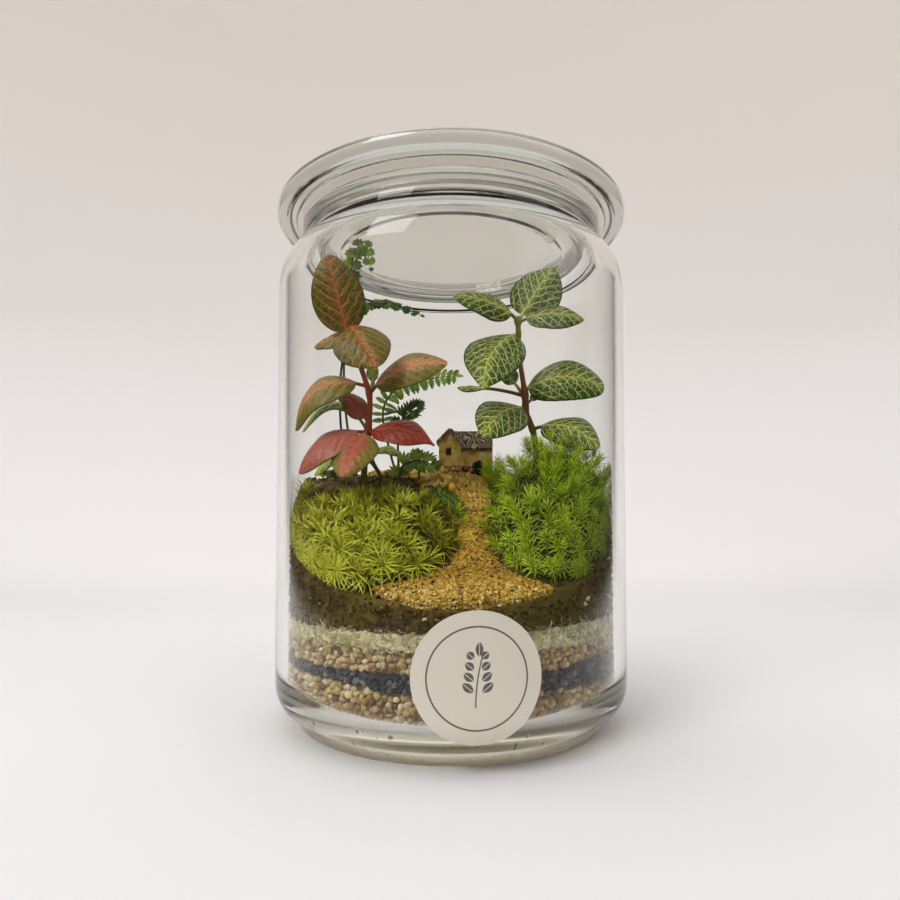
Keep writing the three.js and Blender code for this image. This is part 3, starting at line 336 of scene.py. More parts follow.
def softened(outline: Sequence[Pair], reach: float, steps: int = 4) -> list[Pair]:
    """Rounds every inner corner of an outline.

    Args:
        outline: The corners; the first and the last stay as they are.
        reach: How far along each side a corner's curve starts.
        steps: Steps of each curve.

    Returns:
        The outline with a short curve in place of each corner.
    """
    points = [outline[0]]
    for before, corner, after in zip(outline, outline[1:], outline[2:]):
        ends = []
        for other in (before, after):
            length = math.dist(corner, other)
            share = min(0.45, reach / length)
            ends.append(tuple(c + (o - c) * share for c, o in zip(corner, other)))
        first, last = ends
        for t in np.linspace(0, 1, steps + 1):
            p, q, r = (1 - t) ** 2, 2 * t * (1 - t), t * t
            points.append(tuple(p * a + q * c + r * b for a, c, b in zip(first, corner, last)))
    points.append(outline[-1])
    return points


def lump(segments: int, rings: int, unevenness: float, seed: int) -> Shape:
    """A stone-like lump of about radius 1, squeezed and dented from a primitive ball.

    Args:
        segments: Steps round the ball.
        rings: Steps from pole to pole.
        unevenness: How far its surface is pushed in and out.
        seed: Picks the dents.

    Returns:
        The lump, centred on the origin.
    """
    deselect_all()
    bpy.ops.mesh.primitive_uv_sphere_add(segments=segments, ring_count=rings, radius=1)
    ball = bpy.context.object
    for vertex in ball.data.vertices:
        offset = noise.noise(vertex.co * 1.2 + Vector((seed * 3.7, seed, 0)))
        vertex.co *= 1 + unevenness * offset
    return Shape.of(ball)


def lumps(segments: int, rings: int, unevenness: float, seed: int) -> list[Shape]:
    """Five lumps, each dented in its own way."""
    return [lump(segments, rings, unevenness, seed + k) for k in range(5)]


def random_turns(draw: np.random.Generator, count: int) -> Array:
    """Evenly spread random rotations, one 3 by 3 matrix each."""
    w, x, y, z = draw.normal(size=(count, 4)).T
    length = np.sqrt(w * w + x * x + y * y + z * z)
    w, x, y, z = w / length, x / length, y / length, z / length
    rows = [
        [1 - 2 * (y * y + z * z), 2 * (x * y - z * w), 2 * (x * z + y * w)],
        [2 * (x * y + z * w), 1 - 2 * (x * x + z * z), 2 * (y * z - x * w)],
        [2 * (x * z - y * w), 2 * (y * z + x * w), 1 - 2 * (x * x + y * y)],
    ]
    return np.moveaxis(np.array(rows), -1, 0)


def scattered(
    shapes: Sequence[Shape],
    places: Array,
    radii: Array,
    draw: np.random.Generator,
    flatness: Pair = (0.7, 1.0),
) -> Shape:
    """Turns and sizes lumps at random, one at each place, with a random tone each.

    Args:
        shapes: Lumps to choose from in turn.
        places: Rows of x, y and z.
        radii: The radius of each lump.
        draw: Source of random numbers.
        flatness: Range of each lump's three proportions.

    Returns:
        All the lumps as one shape, with the value "tone" from 0 to 1.
    """
    turns = random_turns(draw, len(places))
    sizes = radii[:, None] * draw.uniform(*flatness, size=(len(places), 3))
    tones = draw.uniform(0, 1, len(places))
    groups = []
    for k, shape in enumerate(shapes):
        own = slice(k, None, len(shapes))
        groups.append(shape.copies(places[own], turns[own], sizes[own], {"tone": tones[own]}))
    return Shape.joined(groups)


def closed_sheet(
    place: Place,
    upper: Height,
    lower: Height,
    steps: int,
    rings: int,
    walls: int,
) -> Shape:
    """A closed body between two round sheets, with a stepped wall between their rims.

    Args:
        place: Gives x and y for a turn and a ring, both from 0 to 1.
        upper: Height of the upper sheet at x and y.
        lower: Height of the lower sheet at x and y.
        steps: Steps round the body.
        rings: Rings from the middle to the rim.
        walls: Levels of the wall.

    Returns:
        The body, closed, with its faces pointing out.
    """
    x, y = place(*np.meshgrid(np.arange(steps) / steps, np.linspace(0, 1, rings + 1)[1:]))
    rim_x, rim_y = x[-1], y[-1]
    low, high = lower(rim_x, rim_y), upper(rim_x, rim_y)
    layers = [np.stack([x, y, upper(x, y)], -1).reshape(-1, 3)]
    for level in range(1, walls):
        mix = 1 - level / walls
        layers.append(np.stack([rim_x, rim_y, low + (high - low) * mix], -1))
    layers.append(np.stack([x, y, lower(x, y)], -1)[::-1].reshape(-1, 3))
    middle = np.array(place(np.zeros(1), np.zeros(1))).ravel()
    ends = [[*middle, float(upper(*middle))], [*middle, float(lower(*middle))]]
    points = np.concatenate([*layers, np.array(ends)])
    top, bottom = len(points) - 2, len(points) - 1
    here = np.arange(steps)
    there = (here + 1) % steps
    last = top - steps
    triangles = [np.stack([np.full(steps, top), here, there], -1)]
    for row in range(0, last, steps):
        a, b = row + here, row + there
        triangles += [np.stack([a, a + steps, b + steps], -1), np.stack([a, b + steps, b], -1)]
    triangles.append(np.stack([np.full(steps, bottom), last + there, last + here], -1))
    return Shape(points, np.concatenate(triangles))


def roughened(shape: Shape, amount: float, scale: float) -> Shape:
    """Shifts every point by a smooth noise, then pulls it back inside the glass.

    Args:
        shape: The shape that is changed.
        amount: The farthest shift.
        scale: How fine the noise is, in waves for a millimetre.

    Returns:
        The changed shape.
    """
    shifts = np.array([noise.noise_vector(Vector(p) * scale) for p in shape.points])
    moved = inside_glass(shape.points + amount * shifts)
    return Shape(moved, shape.triangles, shape.values)


# Shader maths


class Wire:
    """One shader socket, usable in sums with numbers and other wires."""

    def __init__(self, recipe: Recipe, socket: bpy.types.NodeSocket) -> None:
        """Keeps the socket and the recipe that it belongs to."""
        self.recipe = recipe
        self.socket = socket

    def joined(self, operation: str, first: Number, second: Number) -> Wire:
        """Adds one Math node for two values."""
        return self.recipe.node("ShaderNodeMath", {"operation": operation}, {0: first, 1: second})

    def __add__(self, other: Number) -> Wire:
        """Sum."""
        return self.joined("ADD", self, other)

    __radd__ = __add__

    def __sub__(self, other: Number) -> Wire:
        """Difference."""
        return self.joined("SUBTRACT", self, other)

    def __rsub__(self, other: Number) -> Wire:
        """Difference from a number."""
        return self.joined("SUBTRACT", other, self)

    def __mul__(self, other: Number) -> Wire:
        """Product."""
        return self.joined("MULTIPLY", self, other)

    __rmul__ = __mul__

    def __truediv__(self, other: Number) -> Wire:
        """Quotient."""
        return self.joined("DIVIDE", self, other)

    def __pow__(self, other: Number) -> Wire:
        """Power."""
        return self.joined("POWER", self, other)

    def __abs__(self) -> Wire:
        """Absolute value."""
        return self.joined("ABSOLUTE", self, 0.0)

    def part(self) -> Wire:
        """The part after the point."""
        return self.joined("FRACT", self, 0.0)

    def above(self, edge: float) -> Wire:
        """1 where the value is above an edge, else 0."""
        return self.joined("GREATER_THAN", self, edge)

    def most(self, other: Number) -> Wire:
        """The larger of two values."""
        return self.joined("MAXIMUM", self, other)

    def eased(self, low: float, high: float) -> Wire:
        """0 below low, 1 above high, smooth between; low may be the larger one."""
        settings = {"interpolation_type": "SMOOTHSTEP"}
        return self.recipe.node("ShaderNodeMapRange", settings, {0: self, 1: low, 2: high})


def fill_ramp(ramp: bpy.types.ColorRamp, stops: Stops) -> None:
    """Sets a ramp's stops, from position and colour pairs."""
    while len(ramp.elements) < len(stops):
        ramp.elements.new(1.0)
    for element, (position, colour) in zip(ramp.elements, stops):
        element.position = position
        element.color = (*colour, 1.0)


class Recipe:
    """The node tree of one material, with the few moves that the finishes need."""

    def __init__(self, name: str) -> None:
        """Starts an empty material."""
        self.material = bpy.data.materials.new(name)
        self.material.use_nodes = True
        self.tree = self.material.node_tree
        self.tree.nodes.clear()

    def node(
        self,
        kind: str,
        settings: dict[str, object] | None = None,
        sockets: dict[int | str, object] | None = None,
        output: int | str = 0,
    ) -> Wire:
        """Adds a node.

        Args:
            kind: The node's type.
            settings: Its properties, set before its sockets; "stops" fills a ramp.
            sockets: Values or wires for its inputs, by name or number.
            output: The output that is returned.

        Returns:
            The wire of that output.
        """
        node = self.tree.nodes.new(kind)
        for key, value in (settings or {}).items():
            if key == "stops":
                fill_ramp(node.color_ramp, value)
            else:
                setattr(node, key, value)
        for key, value in (sockets or {}).items():
            target = node.inputs[key]
            if isinstance(value, Wire):
                self.tree.links.new(value.socket, target)
            elif target.type == "RGBA":
                target.default_value = (*value, 1.0)
            else:
                target.default_value = value
        return Wire(self, node.outputs[output] if len(node.outputs) else node.inputs[0])

    def point(self) -> Wire:
        """Object coordinates, in metres."""
        return self.node("ShaderNodeTexCoord", output="Object")

    def value(self, name: str) -> Wire:
        """A value kept at the piece's points."""
        return self.node("ShaderNodeAttribute", {"attribute_name": name}, output="Fac")

    def uv(self, name: str) -> Wire:
        """The piece's own UV map."""
        return self.node("ShaderNodeUVMap", {"uv_map": name})

    def split(self, vector: Wire) -> tuple[Wire, Wire, Wire]:
        """The three numbers of a vector."""
        x = self.node("ShaderNodeSeparateXYZ", None, {0: vector})
        outputs = x.socket.node.outputs
        return x, Wire(self, outputs[1]), Wire(self, outputs[2])

    def noise(self, vector: Wire, scale: float, detail: float = 3.0, roughness: float = 0.55) -> Wire:
        """Smooth noise from 0 to 1."""
        sockets = {"Vector": vector, "Scale": scale, "Detail": detail, "Roughness": roughness}
        return self.node("ShaderNodeTexNoise", None, sockets)

    def ramp(self, factor: Wire, stops: Stops) -> Wire:
        """A colour that runs through stops."""
        return self.node("ShaderNodeValToRGB", {"stops": stops}, {0: factor})

    def mix(
        self, factor: Number, first: Wire | Colour, second: Wire | Colour, blend: str = "MIX"
    ) -> Wire:
        """Mixes two colours."""
        settings = {"data_type": "RGBA", "blend_type": blend}
        return self.node("ShaderNodeMix", settings, {0: factor, 6: first, 7: second}, output=2)

    def bump(self, height: Wire, distance: float, strength: float = 1.0) -> Wire:
        """A bumped normal; the distance is in millimetres."""
        sockets = {"Height": height, "Distance": distance * MM, "Strength": strength}
        return self.node("ShaderNodeBump", None, sockets)

    def surface(self, sockets: dict[str, object]) -> bpy.types.Material:
        """Ends the recipe with one Principled shader."""
        shader = self.node("ShaderNodeBsdfPrincipled", None, sockets)
        self.node("ShaderNodeOutputMaterial", None, {"Surface": shader})
        return self.material


def srgb(red: int, green: int, blue: int) -> Colour:
    """A linear colour from the usual 0 to 255 numbers."""
    shares = (red / 255, green / 255, blue / 255)
    return tuple(c / 12.92 if c <= 0.04045 else ((c + 0.055) / 1.055) ** 2.4 for c in shares)


def shades(*rows: tuple[float, int, int, int]) -> Stops:
    """Stops of a ramp: each a position and the usual 0 to 255 numbers."""
    return tuple((position, srgb(*numbers)) for position, *numbers in rows)


# Finishes


@dataclass(frozen=True)
class GlassFinish:
    """Clear glass or plastic that lets light through to what stands in it."""

    name: str
    tint: Colour
    ior: float = 1.5
    roughness: float = 0.0
    sheen_share: float = 0.45
    frost: float = 0.0
    frost_radius: float = 42.4
    frost_height: float = 2.9
    frost_fade: Pair = (0.8, 0.4)
    body_tint: Colour = (0.62, 0.6, 0.38)
    density: float = 0.0

    def material(self) -> bpy.types.Material:
        """Builds the material."""
        recipe = Recipe(self.name)
        sockets: dict[str, object] = {
            "Base Color": self.tint,
            "Roughness": self.roughness,
            "IOR": self.ior,
            "Transmission Weight": 1.0,
            "Specular Tint": (self.sheen_share,) * 3,
        }
        if self.frost:
            x, y, height = recipe.split(recipe.point())
            fade_out, fade_up = self.frost_fade
            radius = (x * x + y * y) ** 0.5
            inside = radius.eased((self.frost_radius + fade_out) * MM, self.frost_radius * MM)
            below = height.eased((self.frost_height + fade_up) * MM, self.frost_height * MM)
            sockets["Roughness"] = self.frost * inside * below
        shader = recipe.node("ShaderNodeBsdfPrincipled", None, sockets)
        clear = recipe.node("ShaderNodeBsdfTransparent", None, {"Color": self.tint})
        shadow = recipe.node("ShaderNodeLightPath", output="Is Shadow Ray")
        mixed = recipe.node("ShaderNodeMixShader", None, {0: shadow, 1: shader, 2: clear})
        ends: dict[str, object] = {"Surface": mixed}
        if self.density:
            body = {"Color": self.body_tint, "Density": self.density}
            ends["Volume"] = recipe.node("ShaderNodeVolumeAbsorption", None, body)
        recipe.node("ShaderNodeOutputMaterial", None, ends)
        return recipe.material


@dataclass(frozen=True)
class GrainFinish:
    """Loose grains whose colour follows each grain's own tone."""

    name: str
    stops: Stops
    roughness: float = 0.6
    mottle: float = 0.35
    pattern: float = 900.0

    def material(self) -> bpy.types.Material:
        """Builds the material."""
        recipe = Recipe(self.name)
        point = recipe.point()
        speckle = recipe.noise(point, self.pattern, 4.0, 0.6)
        grain = recipe.ramp(recipe.value("tone"), self.stops)
        shade = recipe.ramp(speckle, ((0.3, (0.45, 0.42, 0.4)), (0.62, (1.15, 1.12, 1.08))))
        coloured = recipe.mix(self.mottle, grain, shade, "MULTIPLY")
        return recipe.surface(
            {
                "Base Color": coloured,
                "Roughness": self.roughness + 0.25 * speckle,
                "Normal": recipe.bump(speckle, 0.25, 0.6),
            }
        )


@dataclass(frozen=True)
class SoilFinish:
    """Dark damp soil with an olive cast and a few pale specks."""

    name: str
    dark: Colour
    light: Colour
    olive: Colour
    specks: Stops

    def material(self) -> bpy.types.Material:
        """Builds the material."""
        recipe = Recipe(self.name)
        point = recipe.point()
        clods = recipe.noise(point, 420.0, 6.0, 0.65)
        patches = recipe.noise(point, 60.0, 3.0)
        base = recipe.ramp(clods, ((0.35, self.dark), (0.7, self.light)))
        greened = recipe.mix(patches.eased(0.42, 0.6) * 0.75, base, self.olive)
        crumb = recipe.ramp(recipe.value("tone"), self.specks)
        is_crumb = recipe.value("crumb").above(0.5)
        return recipe.surface(
            {
                "Base Color": recipe.mix(is_crumb, greened, crumb),
                "Roughness": 0.75 + 0.2 * clods,
                "Specular IOR Level": 0.2,
                "Normal": recipe.bump(clods, 0.9, 0.8),
            }
        )


@dataclass(frozen=True)
class PaperFinish:
    """Off-white sticker paper printed with a thin ring and a sprig of leaves."""

    name: str
    paper: Colour
    ink: Colour
    ring_radius: float = 11.4
    line: float = 0.17
    sprig_foot: float = -6.4
    sprig_top: float = 5.2
    leaf_pairs: int = 4
    leaf_length: float = 2.7
    leaf_taper: float = 0.32
    leaf_lean: float = 40.0

    def _leaf(self, x: Wire, y: Wire, centre: Pair, turn: float, size: Pair) -> Wire:
        """1 inside one printed leaf, 0 outside it."""
        cos, sin = math.cos(turn), math.sin(turn)
        dx, dy = x - centre[0], y - centre[1]
        along = (dx * cos + dy * sin) / size[0]
        across = (dy * cos - dx * sin) / size[1]
        body = (abs(across) + along * along).eased(1.0, 0.94)
        return body * abs(across).eased(0.05, 0.12)

    def material(self) -> bpy.types.Material:
        """Builds the material."""
        recipe = Recipe(self.name)
        x, y, _ = recipe.split(recipe.uv("disc"))
        radius = (x * x + y * y) ** 0.5
        ring = abs(radius - self.ring_radius).eased(self.line + 0.05, self.line)
        stem_span = y.above(self.sprig_foot) * (1 - y.above(self.sprig_top))
        sway = x - 0.012 * (y - self.sprig_foot) * (y - self.sprig_foot) + 0.5
        print_mask = ring.most(abs(sway).eased(self.line + 0.02, self.line - 0.05) * stem_span)
        step = (self.sprig_top - self.sprig_foot) / (self.leaf_pairs + 0.6)
        for pair in range(self.leaf_pairs):
            height = self.sprig_foot + step * (pair + 1.2)
            length = self.leaf_length - self.leaf_taper * pair
            for hand in (-1, 1):
                centre = (hand * (0.55 + 0.62 * length), height + 0.5 * length)
                turn = math.radians(self.leaf_lean if hand > 0 else 180.0 - self.leaf_lean)
                leaf = self._leaf(x, y, centre, turn, (length * 0.62, 0.95))
                print_mask = print_mask.most(leaf)
        top = self._leaf(x, y, (0.35, self.sprig_top + 1.2), math.radians(88), (1.7, 0.9))
        print_mask = print_mask.most(top)
        fibre = recipe.noise(recipe.point(), 2600.0, 3.0)
        paper = recipe.mix(0.06 * fibre, self.paper, (0.5, 0.48, 0.45))
        return recipe.surface(
            {
                "Base Color": recipe.mix(print_mask, paper, self.ink),
                "Roughness": 0.55 + 0.2 * fibre,
                "Normal": recipe.bump(fibre, 0.03, 0.5),
            }
        )


VEIN_PITCH = 3.0
VEIN_SLANT = 0.85
VEIN_CURL = 0.05
RED_FLUSH = shades(
    (0.5, 196, 146, 98),
    (0.56, 192, 122, 84),
    (0.64, 166, 86, 58),
    (0.9, 172, 98, 84),
    (1.0, 154, 50, 34),
)


@dataclass(frozen=True)
class LeafFinish:
    """A nerve plant's leaf: a blade between veins that branch into a net."""

    name: str
    blade: Colour
    shade: Colour
    vein: Colour
    heart: Colour
    rim: Colour
    side_vein: float
    net_vein: float
    net_cell: float
    net_strength: float
    blur: float
    flushed_edge: Colour | None = None
    flush_stops: Stops = ()
    roughness: float = 0.36

    def material(self) -> bpy.types.Material:
        """Builds the material."""
        recipe = Recipe(self.name)
        along = recipe.value("along")
        x, y = recipe.value("run"), recipe.value("side")
        flat = recipe.node("ShaderNodeCombineXYZ", None, {0: x, 1: y})
        wobble = recipe.noise(flat, 3.1, 2.0) - 0.5
        side = abs(y * CM + wobble * 1.2)
        edge = abs(recipe.value("across"))
        hand = y.above(0.0)

        midrib_half = self.side_vein * 1.7 * (1.05 - along)
        midrib = (side - midrib_half).eased(self.blur, 0.0)

        slanted = x * CM - VEIN_SLANT * side - VEIN_CURL * side * side + wobble * 2.0
        phase = slanted / VEIN_PITCH + 0.5 * hand
        to_side = abs(phase.part() - 0.5) * VEIN_PITCH * 0.72
        side_half = self.side_vein * (1.1 - 0.75 * edge)
        side_veins = (to_side - side_half).eased(self.blur, 0.0)

        cell = CM / self.net_cell
        drift = recipe.node(
            "ShaderNodeTexNoise", None, {"Vector": flat, "Scale": 5.0, "Detail": 2.0}, "Color"
        )
        cells = self._vector(recipe, "MULTIPLY", {0: flat, 1: (cell * 0.8, cell * 1.05, 0.0)})
        shift = self._vector(recipe, "SCALE", {0: drift, "Scale": 0.55})
        warped = self._vector(recipe, "ADD", {0: cells, 1: shift})
        to_net = recipe.node(
            "ShaderNodeTexVoronoi",
            {"feature": "DISTANCE_TO_EDGE", "voronoi_dimensions": "2D"},
            {"Vector": warped, "Scale": 1.0, "Randomness": 0.85},
            "Distance",
        )
        net = (to_net * self.net_cell - self.net_vein).eased(self.blur, 0.0) * edge.eased(0.97, 0.86)

        veins = midrib.most(side_veins * edge.eased(0.99, 0.9)).most(net * self.net_strength)
        veins = veins.most(along.eased(0.12, 0.03) * 0.6)

        mottling = recipe.noise(flat, 9.0, 4.0)
        blade = recipe.mix(mottling.eased(0.35, 0.65), self.shade, self.blade)
        blade = recipe.mix((side + 2.0 * (mottling - 0.5)).eased(2.6, 0.2) * 0.75, blade, self.heart)
        flush = recipe.value("flush")
        blade = recipe.mix(flush.eased(0.3, 0.5), blade, self.flushed_edge or self.heart)
        pillow = to_net.eased(0.0, 0.32)
        reach = flush * 1.65 - 2.0 * edge * edge * (1.25 - flush) + 1.7 * (mottling - 0.5)
        spread = (reach + 0.45 * side_veins - 0.35 * pillow * edge).eased(0.4, 0.95)
        flush_colour = recipe.ramp(flush, self.flush_stops or ((0.0, self.heart),))
        flushed = recipe.mix(spread, blade, flush_colour)
        veined = recipe.mix(veins * (1.0 - 0.55 * flush), flushed, self.vein)
        rim = edge.eased(0.92, 0.985) * (1.0 - 0.4 * flush)
        return recipe.surface(
            {
                "Base Color": recipe.mix(rim, veined, self.rim),
                "Roughness": self.roughness + 0.2 * veins,
                "Specular IOR Level": 0.25,
                "Coat Weight": 0.22,
                "Coat Roughness": 0.14,
                "Normal": recipe.bump(pillow - 0.4 * side_veins, 0.1, 0.8),
            }
        )

    @staticmethod
    def _vector(recipe: Recipe, operation: str, sockets: dict[int | str, object]) -> Wire:
        """Adds one Vector Math node."""
        return recipe.node("ShaderNodeVectorMath", {"operation": operation}, sockets)


@dataclass(frozen=True)
class StemFinish:
    """A juicy stem whose colour changes with its height."""

    name: str
    stops: Stops
    low: float
    high: float

    def material(self) -> bpy.types.Material:
        """Builds the material."""
        recipe = Recipe(self.name)
        point = recipe.point()
        _, _, z = recipe.split(point)
        streaks = recipe.noise(point, 700.0, 3.0)
        place = (z - self.low * MM) / ((self.high - self.low) * MM) + 0.12 * (streaks - 0.5)
        return recipe.surface(
            {
                "Base Color": recipe.ramp(place, self.stops),
                "Roughness": 0.42 + 0.2 * streaks,
                "Normal": recipe.bump(streaks, 0.12, 0.5),
            }
        )


@dataclass(frozen=True)
class FrondFinish:
    """A fern's leafy part, darker along its ribs."""

    name: str
    light: Colour
    dark: Colour
    pattern: float = 500.0

    def material(self) -> bpy.types.Material:
        """Builds the material."""
        recipe = Recipe(self.name)
        point = recipe.point()
        mottling = recipe.noise(point, self.pattern, 3.0)
        rib = recipe.value("rib")
        tone = recipe.value("tone")
        factor = (mottling * 0.6 + tone * 0.55 - 0.25 * rib).eased(0.2, 0.85)
        return recipe.surface(
            {
                "Base Color": recipe.mix(factor, self.dark, self.light),
                "Roughness": 0.42 + 0.15 * mottling,
                "Specular IOR Level": 0.25,
                "Normal": recipe.bump(rib * -1.0 + 0.4 * mottling, 0.15, 0.6),
            }
        )


@dataclass(frozen=True)
class MossFinish:
    """Moss needles: dark at the foot, bright at the tip, each shoot with its own tone, with painted shade
    deep in the bush.
    """

    name: str
    painted_deep_shade: Colour
    foot: Colour
    middle: Colour
    tip: Colour
    dry: Colour
    shade_low: float
    shade_high: float
    patchiness: float = 0.25

    def material(self) -> bpy.types.Material:
        """Builds the material."""
        recipe = Recipe(self.name)
        point = recipe.point()
        patches = recipe.noise(point, 130.0, 2.0)
        tip = recipe.value("tip")
        tone = recipe.value("tone")
        lifted = tip * 0.6 + 0.55 * (tone - 0.3) + self.patchiness * (patches - 0.5)
        needle = recipe.ramp(lifted, ((0.05, self.foot), (0.45, self.middle), (0.95, self.tip)))
        dried = recipe.mix(tone.eased(0.86, 0.98) * 0.75, needle, self.dry)
        # painted shade: points low in the bush take the deep shade colour
        depth = recipe.value("depth").eased(self.shade_low, self.shade_high)
        return recipe.surface(
            {
                "Base Color": recipe.mix(depth, self.painted_deep_shade, dried),
                "Roughness": 0.5 + 0.2 * patches,
                "Specular IOR Level": 0.25,
            }
        )


@dataclass(frozen=True)
class StoneFinish:
    """Dull mottled stone."""

    name: str
    stops: Stops
    pattern: float = 260.0
    relief: float = 0.5
    roughness: float = 0.7

    def material(self) -> bpy.types.Material:
        """Builds the material."""
        recipe = Recipe(self.name)
        point = recipe.point()
        coarse = recipe.noise(point, self.pattern, 6.0, 0.62)
        fine = recipe.noise(point, self.pattern * 4.5, 4.0, 0.6)
        return recipe.surface(
            {
                "Base Color": recipe.ramp(0.75 * coarse + 0.25 * fine, self.stops),
                "Roughness": self.roughness + 0.15 * (fine - 0.5),
                "Normal": recipe.bump(0.6 * coarse + 0.4 * fine, self.relief, 0.9),
            }
        )


@dataclass(frozen=True)
class PlainFinish:
    """The studio's surface: a faint mottling, painted light that makes it lighter far behind and warmer
    towards the top, painted shade that darkens it where the unlit room stands outside the view, and a
    painted glow on the floor under the jar.
    """

    name: str
    colour: Colour
    # painted light: far and upper make the backdrop lighter far behind and warmer towards the top, as the
    # lit wall falls off
    far: Colour
    upper: Colour
    # painted shade: the dark colour of the unlit room around the lit sweep
    unlit_room_shade: Colour
    # painted light: glow is emission painted on the floor under the jar, standing in for light that comes
    # down through the glass base
    glow: Colour
    roughness: float = 0.9
    glow_radius: float = 34.0
    glow_fade: float = 6.0

    def material(self) -> bpy.types.Material:
        """Builds the material."""
        recipe = Recipe(self.name)
        point = recipe.point()
        across, depth, height = recipe.split(point)
        cloud = recipe.noise(point, 3.0, 2.0)
        radius = (across * across + depth * depth) ** 0.5
        shade = recipe.mix(0.06 * cloud, self.colour, (0.6, 0.6, 0.62))
        # painted light: lighter far behind, then warmer towards the top of the wall
        shade = recipe.mix(depth.eased(0.2, 0.5), shade, self.far)
        shade = recipe.mix(height.eased(0.1, 0.7), shade, self.upper)
        # painted shade: the bowl turns dark beside and in front of the view, below about half a metre,
        # where the room is unlit
        aside = abs(across) - 0.72 * (depth + 0.2)
        outside = depth.eased(-0.13, -0.24).most(aside.eased(0.03, 0.16)) * height.eased(0.52, 0.42)
        # painted light: a glowing disc on the floor under the jar, though no lamp is there
        glow_disc = radius.eased((self.glow_radius + self.glow_fade) * MM, self.glow_radius * MM)
        painted_glow_under_jar = glow_disc * height.eased(0.002, 0.001)
        return recipe.surface(
            {
                "Base Color": recipe.mix(outside, shade, self.unlit_room_shade),
                "Roughness": self.roughness,
                "Emission Color": recipe.mix(painted_glow_under_jar, (0.0, 0.0, 0.0), self.glow),
                "Emission Strength": 1.0,
            }
        )


# The jar


